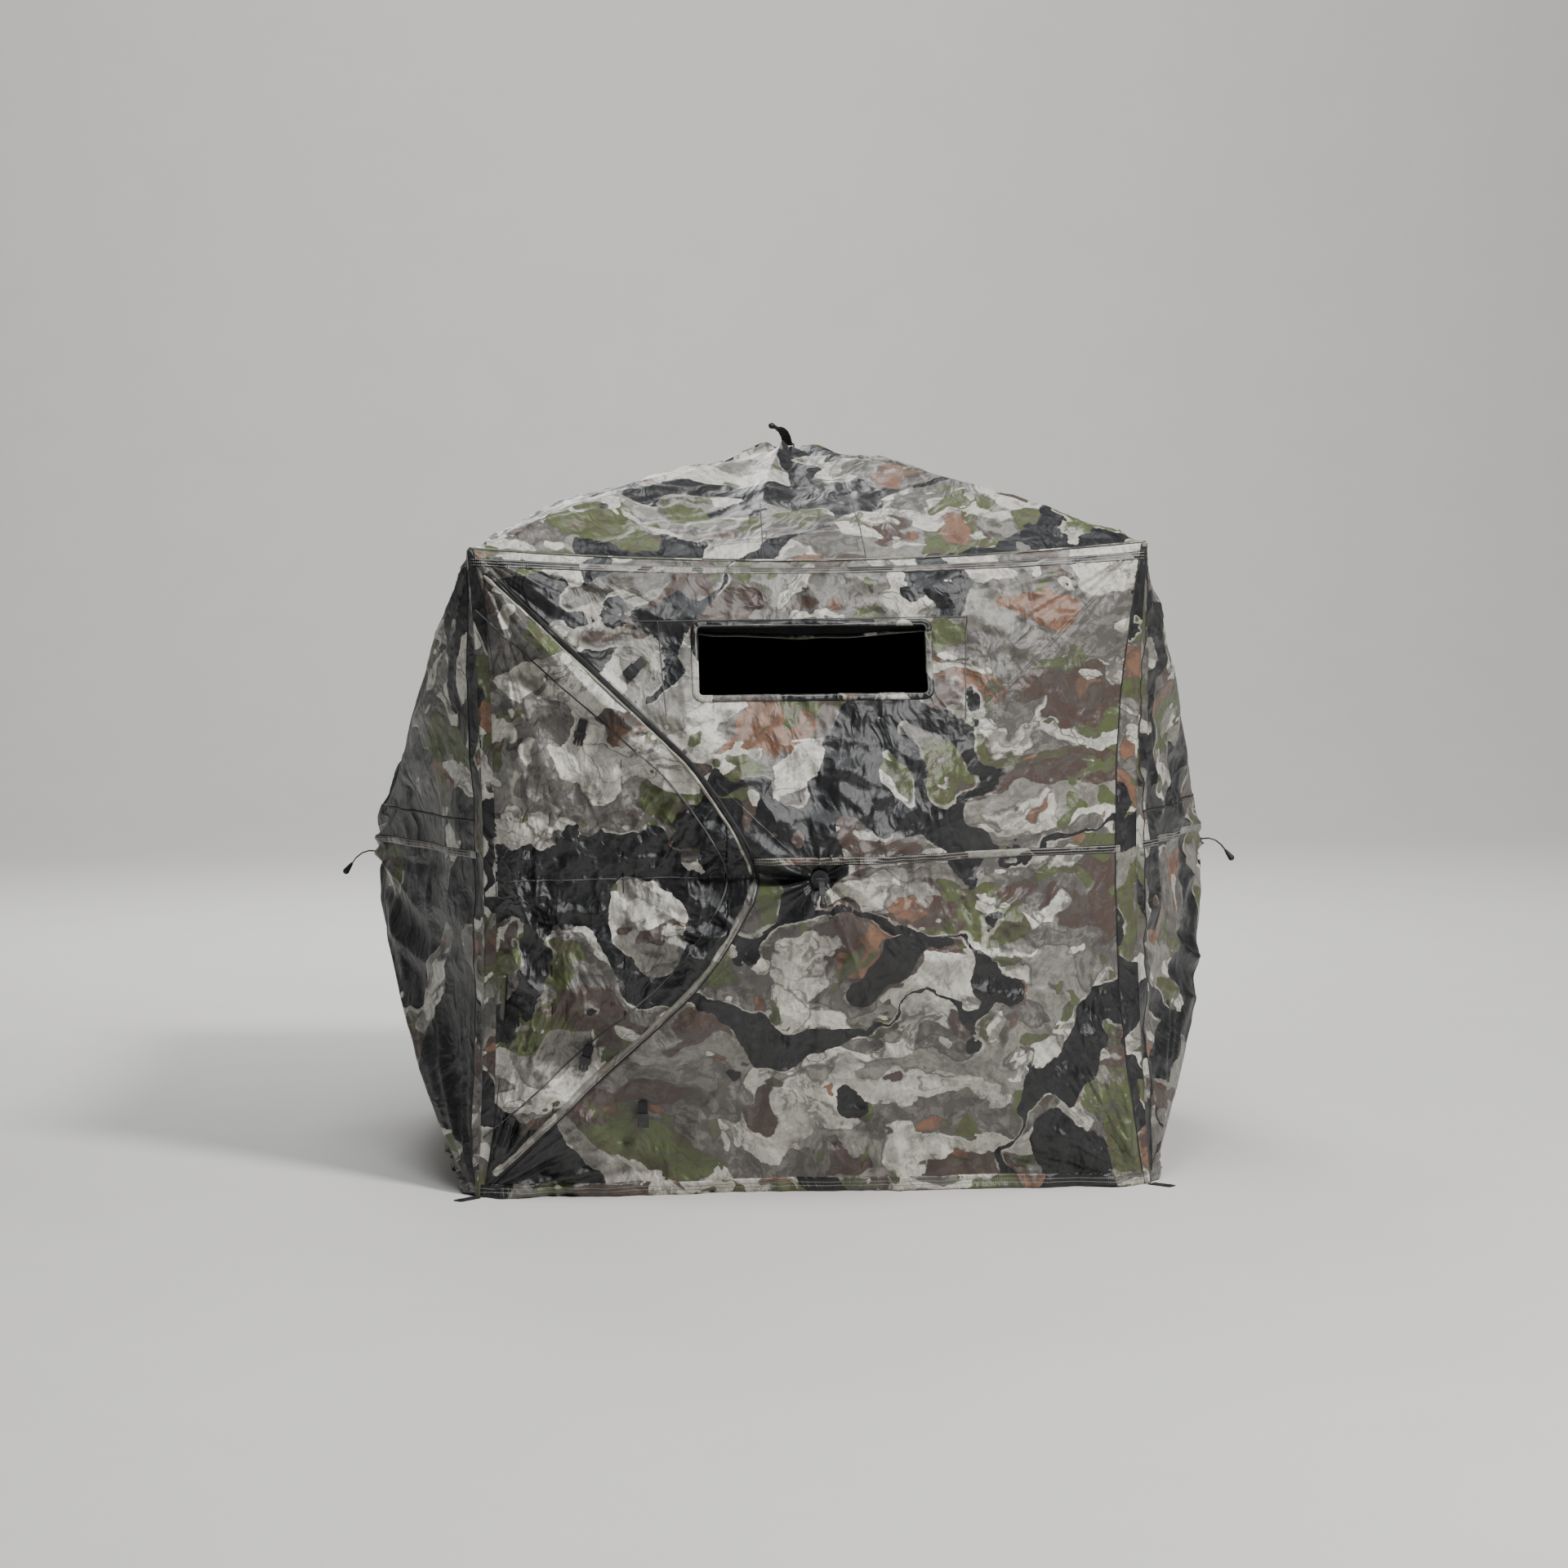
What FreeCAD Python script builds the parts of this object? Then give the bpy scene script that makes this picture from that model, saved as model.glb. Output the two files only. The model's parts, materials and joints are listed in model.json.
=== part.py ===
"""Pop-up ground blind: a five-hub pop-up shelter with a fabric skin.

Origin at the middle of the footprint, on the ground. +Z is up and the front wall faces -Y. Millimetres.
Each wall and the roof is one "face": a rectangle of fabric whose middle is pushed out by a hub. Four poles
run from the hub to the corners of the face, and four fabric panels fill the space between them.
Every face is modelled in its own frame, u to the right, v up and n outwards as seen from outside, and is
then put in its place.
"""

import FreeCAD
import Part

import math
import os

from FreeCAD import Placement, Rotation
from FreeCAD import Vector as V

# Driving dimensions of the shelter
FOOTPRINT = 1473.0  # corner to corner along the ground, both ways
EAVE = 1409.0  # height of the walls at the corners
CROWN = 235.0  # how far a hub stands out of the flat of its face
BORDER = 30.0  # width of the sewn border round each face
SHEET = 2.0  # thickness of the fabric panels with their coating and seams
BAND = 3.0  # thickness of the doubled border

# Joining and cutting
OVER = 1.0  # how far a piece runs into its neighbour before the two are joined
THROUGH = 20.0  # length of the tools that cut holes, which stick out on both sides

# How the panels clear each other while a face pops through
HEM_GAP = 2.0  # from a border to the fold line
BASE_GAP = 3.0  # from the fold line to the panel
RIDGE_GAP_CORNER = 8.0  # from the ridge line to the panel, at the corner
RIDGE_GAP_HUB = 34.0  # and at the hub
HUB_GAP = 70.0  # from the hub to the cut-off tip of each panel

# Hub
HUB_R = 40.0
HUB_TOP = 18.0  # below the crown of the fabric
HUB_HIGH = 22.0
HUB_EDGE = 2.0  # chamfer of its rims
HUB_HOLLOW_R = 12.0
HUB_HOLLOW_HIGH = 12.0
BOSS_R = 9.0
WASHER_R = 19.0
WASHER_HIGH = 4.0
PIN_AT = 32.0  # distance of each pole's pin from the middle of the hub
PIN_R = 2.0
PIN_LONG = 24.0
PIN_SEAT = 0.02  # clearance of the pins in the hub
PIN_PLAY = 0.08  # and in the poles
SLOT_WIDE = 7.2
SLOT_FROM = 20.0
EYE_R = 1.6  # wire of the eye that holds the pull strap
EYE_ROOM = 8.0  # how much wider than its strap
EYE_HIGH = 10.0

# Poles
ROD_R = 4.25
BLADE_THICK = 6.0
BLADE_R = 6.0
FERRULE_R = 6.0
FERRULE_FROM = 12.0  # along the pole, from its pin
FERRULE_LONG = 34.0
FERRULE_END = 6.0  # solid part of the ferrule, before the rod
BORE_PLAY = 0.05
BOOT_R = 6.0
BOOT_LONG = 38.0
BOOT_END = 8.0  # solid part of the boot, past the rod
BOOT_ROUND = 4.0
TIP_INSET = 55.0  # from the pole's tip to the edges of its face

# Pull straps
STRAP_THICK = 3.0
STRAP_BENDS = [(20, 1), (36, -4), (50, -15), (60, -28)]  # outwards and upwards from the eye
SLEEVE_R = 3.4
SLEEVE_PLAY = 0.08
GRIP_LONG = 24.0
GRIP_NECK_R = 3.2
GRIP_R = 7.5
# width, and the degrees that the strap is turned to one side and droops further
WALL_STRAP = (12.0, 0.0, 0.0)
ROOF_STRAP = (25.0, -32.0, 30.0)

# Window and its curtain, on the upper front panel: down the slope and across
WINDOW_TOP = 146.0
WINDOW_FOOT = 308.0
WINDOW_LEFT = -250.0
WINDOW_RIGHT = 247.0
WINDOW_CORNER = 12.0
CURTAIN_TOP = 14.0
CURTAIN_FOOT = 176.0
CURTAIN_SIDE = 22.0  # past each side of the window
CURTAIN_BEHIND = 7.0  # from the panel's middle to the curtain's

# Door, in the left front panel
MARGIN = 16.0  # fabric between the ridge and the zip
ZIP_GAP = 2.0
DOOR_BASE = 5.0
DOOR_REACH = 603.0  # from the fold line to the furthest point of the zip
DOOR_ROUND = 125.0  # half the height of the rounded stretch of the zip

# Zip slider, running along the upper stretch of the zip
SLIDER_LONG = 16.0
SLIDER_WIDE = 11.0
SLIDER_HIGH = 5.0
SLIDER_LIFT = 6.0
SLIDER_ROUND = 1.8
SLIDER_START = 60.0  # from the upper corner, along the zip
ZIP_TO_RIDGE = 12.0  # from the line that the slider runs on to the ridge
PULL_LONG = 24.0
PULL_WIDE = 7.0
PULL_THICK = 1.6
PULL_GAP = 0.3  # between the slider and its pull
BRIDGE_FROM = 3.0  # the loop on the slider that holds the pull
BRIDGE_LONG = 10.0
BRIDGE_WIDE = 3.0
BRIDGE_HIGH = 3.6
BRIDGE_BAR = 1.6
BRIDGE_PLAY = 0.1

# Side-release buckles
BUCKLE_WIDE = 25.0
BUCKLE_HIGH = 9.0
BUCKLE_ROUND = 2.5
BUCKLE_WALL = 2.0
SOCKET_LONG = 30.0
MOUTH_DEEP = 18.0
MOUTH_WIDE = 17.0
EAR_FROM = 15.0  # the side windows, from the mouth's end
EAR_TO = 7.0
BAR_LONG = 15.0  # the prong half's body
PRONG_LONG = 17.0
GUIDE_WIDE = 3.0
PRONG_HIGH = 3.8
# one sprung arm: along the buckle from its body, and out from its middle
ARM = [(0, 4.5), (0, 9.5), (7, 9.5), (9, 11.5), (13, 11.0), (PRONG_LONG, 6.5), (PRONG_LONG, 5.0), (8, 5.5)]
WEB_WIDE = 20.0
WEB_THICK = 1.5
WEB_LONG = 34.0
WEB_IN = 8.0  # how far it reaches into the buckle
WEB_SLOT = 3.5  # height of the buckle's slot for it
WEB_PLAY = 0.8
BUCKLE_LIFT = 2.0  # from the panel's middle to the buckle's back
WEB_LIFT = 4.0  # and to the back of its webbing
SWING_LIFT = WEB_LIFT + WEB_THICK / 2  # and to the line that it swings about

# Corners
GUSSET_LEG = 50.0
GUSSET_IN = 4.0
GUSSET_THICK = 3.0
LOOP_LONG = 62.0
LOOP_WIDE = 26.0
LOOP_THICK = 2.0
LOOP_FROM = 3.5
LOOP_ROUND = 6.0
LOOP_OUT = 1.5  # the corner of the skin that it starts from, outside the corner of the footprint
EYELET_R = 6.0
EYELET_RIM = 4.0
EYELET_HIGH = 3.0

HALF = FOOTPRINT / 2
HALF_HIGH = EAVE / 2
X, Y, Z = V(1, 0, 0), V(0, 1, 0), V(0, 0, 1)
O = V(0, 0, 0)

# name, middle, u, v, half width, half height, names of the sides towards -u, +u, -v and +v
FACES = {
    "front": (V(0, -HALF, HALF_HIGH), X, Z, HALF, HALF_HIGH, ("left", "right", "bottom", "top")),
    "right": (V(HALF, 0, HALF_HIGH), Y, Z, HALF, HALF_HIGH, ("left", "right", "bottom", "top")),
    "back": (V(0, HALF, HALF_HIGH), -X, Z, HALF, HALF_HIGH, ("left", "right", "bottom", "top")),
    "left": (V(-HALF, 0, HALF_HIGH), -Y, Z, HALF, HALF_HIGH, ("left", "right", "bottom", "top")),
    "roof": (V(0, 0, EAVE), X, Y, HALF, HALF, ("left", "right", "front", "back")),
}


def frame(at, x, y):
    """The placement that puts a shape's own x and y axes along two directions."""
    z = x.cross(y)
    return Placement(at, Rotation(x, y, z, "ZXY"))


def cylinder(radius, long, at=O, along=Z):
    return Part.makeCylinder(radius, long, at, along)


def box(low, high):
    size = high - low
    return Part.makeBox(size.x, size.y, size.z, low)


def rounded_corners(solid, radius, past=-math.inf):
    """A block with its upright edges rounded, all of them or those that lie past a given x."""
    upright = [e for e in solid.Edges if abs(e.tangentAt(e.FirstParameter).z) > 0.9]
    return solid.makeFillet(radius, [e for e in upright if e.CenterOfMass.x > past])


def plate(points, thick):
    """A flat plate on the xy plane, half its thickness to each side, from corner points."""
    wire = Part.makePolygon([V(x, y, -thick / 2) for x, y in points + points[:1]])
    return Part.Face(wire).extrude(V(0, 0, thick))


def strip(path, thick, wide):
    """A bent strap: a path in the xz plane, given a thickness there and a width along y."""
    left, right = [], []
    for i, p in enumerate(path):
        before = p - path[i - 1] if i else path[1] - p
        after = path[i + 1] - p if i + 1 < len(path) else before
        one, two = V(before).normalize(), V(after).normalize()
        side = V(-(one.z + two.z), 0, one.x + two.x).normalize()
        reach = thick / 2 / side.dot(V(-one.z, 0, one.x))
        left.append(p + side * reach - Y * wide / 2)
        right.append(p - side * reach - Y * wide / 2)
    wire = Part.makePolygon(left + right[::-1] + left[:1])
    return Part.Face(wire).extrude(Y * wide)


# ---- the four panels of a face -------------------------------------------------------------------


def inset(half):
    """Half the distance between two opposite fold lines of a face."""
    return half - BORDER


def side_frame(face, side):
    """A panel's frame in its face: x up the slope from the fold line, y along the fold line."""
    half_u, half_v = inset(face[3]), inset(face[4])
    inward, along, far = {
        0: (X, Y, half_u),
        1: (-X, -Y, half_u),
        2: (Y, -X, half_v),
        3: (-Y, X, half_v),
    }[side]
    slope = (inward * far + Z * CROWN).normalize()
    return frame(-inward * far, slope, along)


def side_size(face, side):
    """(length up the slope from the fold line to the crown, half the fold line)."""
    half_u, half_v = inset(face[3]), inset(face[4])
    far, half = (half_u, half_v) if side < 2 else (half_v, half_u)
    return math.hypot(far, CROWN), half


def ridge_point(size, at_corner, at_hub, up):
    """Half the width of a panel at a distance up its slope, kept that far from the ridge line."""
    long, half = size
    ridge = math.hypot(long, half)
    x0, y0 = -at_corner * half / ridge, half - at_corner * long / ridge
    x1, y1 = long - at_hub * half / ridge, -at_hub * long / ridge
    return y0 + (up - x0) * (y1 - y0) / (x1 - x0)


def panel_shape(size):
    long, _ = size
    foot, tip = BASE_GAP, long - HUB_GAP
    low = ridge_point(size, RIDGE_GAP_CORNER, RIDGE_GAP_HUB, foot)
    high = ridge_point(size, RIDGE_GAP_CORNER, RIDGE_GAP_HUB, tip)
    return plate([(foot, -low), (tip, -high), (tip, high), (foot, low)], SHEET)


def rounded_window():
    """The window's opening as a tall prism in the panel's frame."""
    long, wide = WINDOW_FOOT - WINDOW_TOP, WINDOW_RIGHT - WINDOW_LEFT
    hole = Part.makeBox(long, wide, THROUGH, V(WINDOW_TOP, WINDOW_LEFT, -THROUGH / 2))
    return rounded_corners(hole, WINDOW_CORNER)


def door_outline(size, clearance):
    """The door's outline, or the hole for it when the clearance is above 0."""
    corner = RIDGE_GAP_CORNER + MARGIN + ZIP_GAP - clearance
    hub = RIDGE_GAP_HUB + MARGIN + ZIP_GAP - clearance
    foot = DOOR_BASE - clearance
    low = ridge_point(size, corner, hub, foot)
    long, half = size
    slope = (ridge_point(size, corner, hub, long) - low) / (long - foot)
    turn = DOOR_ROUND + clearance
    start = foot + (turn - low) / slope
    points = [V(foot, -low, 0), V(start, -turn, 0), V(start, turn, 0), V(foot, low, 0)]
    arc = Part.Arc(points[1], V(DOOR_REACH + clearance, 0, 0), points[2]).toShape()
    edges = [
        Part.LineSegment(points[0], points[1]).toShape(),
        arc,
        Part.LineSegment(points[2], points[3]).toShape(),
        Part.LineSegment(points[3], points[0]).toShape(),
    ]
    return Part.Face(Part.Wire(edges))


def door_prism(size, clearance, thick):
    outline = door_outline(size, clearance)
    outline.translate(V(0, 0, -thick / 2))
    return outline.extrude(V(0, 0, thick))


def door_margin(size):
    """The fixed fabric round the door: a strip along each ridge and the piece next to the hub."""
    return panel_shape(size).cut(door_prism(size, ZIP_GAP, THROUGH))


# ---- hub, poles and pull strap, in the face's frame -----------------------------------------------


def diagonal(face, to_u, to_v):
    """The direction from the hub to a corner, in the plane of the face."""
    return V(to_u * inset(face[3]), to_v * inset(face[4]), 0).normalize()


def corner_signs():
    return [(-1, 1), (1, 1), (1, -1), (-1, -1)]


def pin_height():
    return CROWN - HUB_TOP - HUB_HIGH / 2


def pin_place(face, to_u, to_v):
    return diagonal(face, to_u, to_v) * PIN_AT + Z * pin_height()


def tip_place(face, to_u, to_v):
    """The middle of a pole's tip: as far below the ridge line as its pin is."""
    half_u, half_v = inset(face[3]), inset(face[4])
    share = 1 - (TIP_INSET - BORDER) / half_u
    below = CROWN * (1 - PIN_AT / math.hypot(half_u, half_v)) - pin_height()
    return V(to_u * half_u * share, to_v * half_v * share, CROWN * (1 - share) - below)


def pin(face, to_u, to_v, radius):
    """One of the steel pins across the hub's slots, or the bore for it."""
    across = Z.cross(diagonal(face, to_u, to_v))
    return cylinder(radius, PIN_LONG, pin_place(face, to_u, to_v) - across * PIN_LONG / 2, across)


def hub_slot(face, to_u, to_v, base):
    """The slot for a pole's blade, open at the rim of the hub."""
    out = diagonal(face, to_u, to_v)
    low = V(SLOT_FROM, -SLOT_WIDE / 2, base - THROUGH / 2)
    slot = box(low, V(HUB_R + THROUGH, SLOT_WIDE / 2, base + HUB_HIGH + THROUGH / 2))
    slot.Placement = frame(O, out, Z.cross(out))
    return slot


def hub_body(face):
    """The moulded disc with its four slots, the boss through the fabric and the washer outside it."""
    base = CROWN - HUB_TOP - HUB_HIGH
    disc = cylinder(HUB_R, HUB_HIGH, Z * base)
    disc = disc.makeChamfer(HUB_EDGE, [e for e in disc.Edges if isinstance(e.Curve, Part.Circle)])
    disc = disc.cut(cylinder(HUB_HOLLOW_R, HUB_HOLLOW_HIGH + OVER, Z * (base - OVER)))
    for signs in corner_signs():
        disc = disc.cut(hub_slot(face, *signs, base)).cut(pin(face, *signs, PIN_R + PIN_SEAT))
    boss = cylinder(BOSS_R, HUB_TOP + 2 * OVER, Z * (CROWN - HUB_TOP - OVER))
    washer = cylinder(WASHER_R, WASHER_HIGH, Z * CROWN)
    return disc.fuse(boss).fuse(washer).removeSplitter()


def hub_eye(wide, turn):
    """The wire eye on the washer, as three round bars mitred at the corners."""
    foot = CROWN + WASHER_HIGH - OVER
    top = CROWN + WASHER_HIGH + EYE_HIGH
    ends = (-wide / 2, wide / 2)
    posts = [cylinder(EYE_R, top - foot, V(x, 0, foot)) for x in ends]
    bar = cylinder(EYE_R, wide, V(-wide / 2, 0, top), X)
    corners = [Part.makeSphere(EYE_R, V(x, 0, top)) for x in ends]
    eye = posts[0].fuse([posts[1], bar] + corners)
    eye.rotate(O, Z, turn)
    return eye


def hub(face, strap):
    """Hub body with its strap eye, and the four steel pins."""
    wide, turn, _ = strap
    body = hub_body(face).fuse(hub_eye(wide + EYE_ROOM, turn)).Solids[0]
    return Part.makeCompound([body] + [pin(face, *signs, PIN_R) for signs in corner_signs()])


def ferrule():
    """The steel fitting of a pole: a blade with the pin's hole, and a barrel for the rod."""
    blade = box(V(0, -BLADE_THICK / 2, -BLADE_R), V(FERRULE_FROM + OVER, BLADE_THICK / 2, BLADE_R))
    blade = blade.fuse(cylinder(BLADE_R, BLADE_THICK, V(0, -BLADE_THICK / 2, 0), Y))
    barrel = cylinder(FERRULE_R, FERRULE_LONG, X * FERRULE_FROM, X)
    bore = cylinder(ROD_R + BORE_PLAY, FERRULE_LONG, X * (FERRULE_FROM + FERRULE_END), X)
    hole = cylinder(PIN_R + PIN_PLAY, THROUGH, V(0, -THROUGH / 2, 0), Y)
    return blade.fuse(barrel).cut(bore).cut(hole).removeSplitter()


def boot(long):
    """The rubber cap over the end of a rod, for a pole of that length."""
    cap = cylinder(BOOT_R, BOOT_LONG, X * (long - BOOT_LONG), X)
    rims = [e for e in cap.Edges if isinstance(e.Curve, Part.Circle)]
    cap = cap.makeFillet(BOOT_ROUND, [e for e in rims if e.CenterOfMass.x > long - OVER])
    return cap.cut(cylinder(ROD_R + BORE_PLAY, BOOT_LONG - BOOT_END, X * (long - BOOT_LONG), X))


def pole(face, to_u, to_v):
    """A rod with a steel ferrule at the hub and a rubber boot at the tip."""
    pivot, tip = pin_place(face, to_u, to_v), tip_place(face, to_u, to_v)
    long = tip.distanceToPoint(pivot)
    start = FERRULE_FROM + FERRULE_END
    rod = cylinder(ROD_R, long - start - BOOT_END, X * start, X)
    whole = Part.makeCompound([ferrule(), rod, boot(long)])
    out = (tip - pivot).normalize()
    whole.Placement = frame(pivot, out, Z.cross(out).normalize())
    return whole


def pull_strap(strap):
    """A webbing loop on the hub's eye with a moulded grip, in its hanging shape."""
    wide, turn, droop = strap
    path = [V(SLEEVE_R - OVER, 0, 0)] + [V(x, 0, z) for x, z in STRAP_BENDS]
    sleeve = cylinder(SLEEVE_R, wide, V(0, -wide / 2, 0), Y)
    bore = cylinder(EYE_R + SLEEVE_PLAY, wide + THROUGH, V(0, -(wide + THROUGH) / 2, 0), Y)
    loop = strip(path, STRAP_THICK, wide).fuse(sleeve).cut(bore).removeSplitter()
    down = (path[-1] - path[-2]).normalize()
    grip = Part.makeCone(GRIP_NECK_R, GRIP_R, GRIP_LONG, path[-1], down)
    grip = grip.fuse(Part.makeSphere(GRIP_R, path[-1] + down * GRIP_LONG))
    whole = Part.makeCompound([loop.cut(grip).Solids[0], grip])
    whole.rotate(O, Y, droop)
    # the strap's own x is the face's n, and its own z is the face's v
    upright = Placement(O, Rotation(Z, -X, Y, "ZXY"))
    eye = Placement(Z * (CROWN + WASHER_HIGH + EYE_HIGH), Rotation(Z, turn))
    return placed(whole, upright, eye)


# ---- front wall pieces ---------------------------------------------------------------------------


def curtain():
    low = V(CURTAIN_TOP, WINDOW_LEFT - CURTAIN_SIDE, -CURTAIN_BEHIND - SHEET / 2)
    high = V(CURTAIN_FOOT, WINDOW_RIGHT + CURTAIN_SIDE, -CURTAIN_BEHIND + SHEET / 2)
    return box(low, high)


def zip_line(size):
    """The line that the slider runs on, in the panel's frame: (start, direction towards the hub)."""
    near, far = (V(up, ridge_point(size, ZIP_TO_RIDGE, ZIP_TO_RIDGE, up), 0) for up in (0, size[0]))
    return near, (far - near).normalize()


def zip_bridge(top):
    """The loop on top of the slider, as an outer block and the opening under its bar."""
    end, half = BRIDGE_FROM + BRIDGE_LONG, BRIDGE_WIDE / 2
    block = box(V(BRIDGE_FROM, -half, top - OVER), V(end, half, top + BRIDGE_HIGH))
    low = V(BRIDGE_FROM + BRIDGE_BAR, -BRIDGE_WIDE, top)
    return block.cut(box(low, V(end - BRIDGE_BAR, BRIDGE_WIDE, top + BRIDGE_HIGH - BRIDGE_BAR)))


def zip_pull(top):
    """The flat pull under the bridge's bar, with a hole for each of the bridge's two posts."""
    low = V(BRIDGE_FROM + BRIDGE_BAR / 2, -PULL_WIDE / 2, top + PULL_GAP)
    pull = box(low, low + V(PULL_LONG, PULL_WIDE, PULL_THICK))
    for post in (BRIDGE_FROM, BRIDGE_FROM + BRIDGE_LONG - BRIDGE_BAR):
        corner = V(post - BRIDGE_PLAY, -BRIDGE_WIDE / 2 - BRIDGE_PLAY, top)
        hole = V(BRIDGE_BAR + 2 * BRIDGE_PLAY, BRIDGE_WIDE + 2 * BRIDGE_PLAY, THROUGH)
        pull = pull.cut(box(corner, corner + hole))
    return max(pull.Solids, key=lambda solid: solid.Volume)


def zip_slider(size):
    start, along = zip_line(size)
    top = SLIDER_LIFT + SLIDER_HIGH
    body = box(V(0, -SLIDER_WIDE / 2, SLIDER_LIFT), V(SLIDER_LONG, SLIDER_WIDE / 2, top))
    body = rounded_corners(body, SLIDER_ROUND).fuse(zip_bridge(top))
    whole = Part.makeCompound([body.Solids[0], zip_pull(top)])
    whole.Placement = frame(start + along * SLIDER_START, along, Z.cross(along))
    return whole


def web_tab():
    """Webbing from its sewn end, where the buckle swings, to the buckle's bar."""
    return box(V(0, -WEB_WIDE / 2, WEB_LIFT), V(WEB_LONG, WEB_WIDE / 2, WEB_LIFT + WEB_THICK))


def buckle_shell(long):
    """A rounded block with a slot for the webbing."""
    low = V(WEB_LONG - WEB_IN, -BUCKLE_WIDE / 2, BUCKLE_LIFT)
    shell = rounded_corners(box(low, low + V(long, BUCKLE_WIDE, BUCKLE_HIGH)), BUCKLE_ROUND)
    middle = WEB_LIFT + WEB_THICK / 2
    corner = V(low.x - OVER, -WEB_WIDE / 2 - WEB_PLAY, middle - WEB_SLOT / 2)
    return shell.cut(box(corner, V(WEB_LONG + WEB_PLAY, WEB_WIDE / 2 + WEB_PLAY, middle + WEB_SLOT / 2)))


def socket_half():
    """The half with the mouth: a flat sleeve with two side windows."""
    end = WEB_LONG - WEB_IN + SOCKET_LONG
    low, high = BUCKLE_LIFT + BUCKLE_WALL, BUCKLE_LIFT + BUCKLE_HIGH - BUCKLE_WALL
    mouth = box(V(end - MOUTH_DEEP, -MOUTH_WIDE / 2, low), V(end + OVER, MOUTH_WIDE / 2, high))
    ears = box(V(end - EAR_FROM, -BUCKLE_WIDE, low), V(end - EAR_TO, BUCKLE_WIDE, high))
    return Part.makeCompound([web_tab(), buckle_shell(SOCKET_LONG).cut(mouth).cut(ears)])


def prong_half():
    """The half with the prongs: a bar block, a centre guide and two sprung arms."""
    start = WEB_LONG - WEB_IN + BAR_LONG
    middle = BUCKLE_LIFT + BUCKLE_HIGH / 2
    low = V(start - OVER, -GUIDE_WIDE / 2, middle - PRONG_HIGH / 2)
    prongs = [box(low, low + V(PRONG_LONG + OVER, GUIDE_WIDE, PRONG_HIGH))]
    for side in (-1, 1):
        arm = plate([(x, side * y) for x, y in ARM], PRONG_HIGH)
        arm.translate(V(start - OVER, 0, middle))
        prongs.append(arm)
    return Part.makeCompound([web_tab(), buckle_shell(BAR_LONG).fuse(prongs).Solids[0]])


# name: (side of the front face, up the slope, across, turn of the hanging direction in the panel's plane,
#        tilt off the panel, which half)
BUCKLES = {
    "upper_buckle_socket": (3, 224.0, -362.0, -45.0, 0.0, socket_half),
    "lower_buckle_socket": (2, 196.0, 377.0, 180.0, 19.2, socket_half),
    "upper_buckle_prongs": (0, 226.0, 336.0, -104.0, 0.0, prong_half),
    "lower_buckle_prongs": (0, 229.0, -366.0, -106.0, 0.0, prong_half),
}


def buckle(name):
    side, up, across, turn, tilt, half = BUCKLES[name]
    whole = half()
    whole.rotate(V(0, 0, SWING_LIFT), Y, -tilt)
    whole.rotate(O, Z, turn)
    whole.translate(V(up, across, 0))
    return whole


# ---- border and corners, in the shelter's frame ---------------------------------------------------


def turned(solid, quarter):
    copy = solid.copy()
    copy.rotate(O, Z, 90 * quarter)
    return copy


def shell_border():
    """The sewn border: upright strips at the corners, a band at the eave and a hem at the ground."""
    thick, edge, reach = BAND / 2, HALF, BORDER - HEM_GAP
    solids = []
    for quarter in range(4):
        left = box(V(-edge - thick, -edge - thick, 0), V(-edge + reach, -edge + thick, EAVE - thick))
        right = box(V(edge - reach, -edge - thick, 0), V(edge - thick, -edge + thick, EAVE - thick))
        hem = box(V(-edge + reach, -edge - thick, 0), V(edge - reach, -edge + thick, reach))
        low = V(-edge + reach, -edge - thick, EAVE - reach)
        band = box(low, V(edge - reach, -edge + thick, EAVE - thick))
        top = box(V(-edge + reach, -edge - thick, EAVE - thick), V(edge + thick, -edge + reach, EAVE + thick))
        solids += [turned(s, quarter) for s in (left, right, hem, band, top)]
    return Part.makeCompound(solids)


def gusset(up):
    """A webbing triangle across the inside of one corner, behind the pole tips."""
    leg, low = GUSSET_LEG, GUSSET_IN
    corners = [V(leg, low, low), V(low, leg, low), V(low, low, leg)]
    face = Part.Face(Part.makePolygon(corners + corners[:1]))
    shape = face.extrude(V(-1, -1, -1).normalize() * GUSSET_THICK)
    if not up:
        return shape
    return shape.mirror(O, Z)


def corner_gussets():
    solids = []
    for up in (False, True):
        piece = gusset(up)
        piece.translate(V(-HALF, -HALF, EAVE if up else 0))
        solids += [turned(piece, quarter) for quarter in range(4)]
    return Part.makeCompound([s.Solids[0] for s in solids])


def stake_loops():
    """A webbing tab with a brass eyelet on the ground at each corner."""
    solids = []
    middle = X * (LOOP_LONG - LOOP_WIDE / 2)
    below = middle - Z * THROUGH / 2
    tab = box(V(LOOP_FROM, -LOOP_WIDE / 2, 0), V(LOOP_LONG, LOOP_WIDE / 2, LOOP_THICK))
    tab = rounded_corners(tab, LOOP_ROUND, LOOP_LONG / 2).cut(cylinder(EYELET_R + EYELET_RIM, THROUGH, below))
    ring = cylinder(EYELET_R + EYELET_RIM, EYELET_HIGH, middle).cut(cylinder(EYELET_R, THROUGH, below))
    for solid in (tab, ring):
        solid.rotate(O, Z, -135)
        solid.translate(V(-HALF - LOOP_OUT, -HALF - LOOP_OUT, 0))
        solids += [turned(solid, quarter) for quarter in range(4)]
    return Part.makeCompound([s.Solids[0] for s in solids])


# ---- putting it together --------------------------------------------------------------------------


def export(shape, name):
    shape.exportStep(f"parts/{name}.step")
    print(name, len(shape.Solids), round(shape.Volume / 1000, 1), "cm3")


def placed(shape, *places):
    """The shape after each placement in turn, the innermost first."""
    for place in places:
        shape.Placement = place * shape.Placement
    return shape


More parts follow.
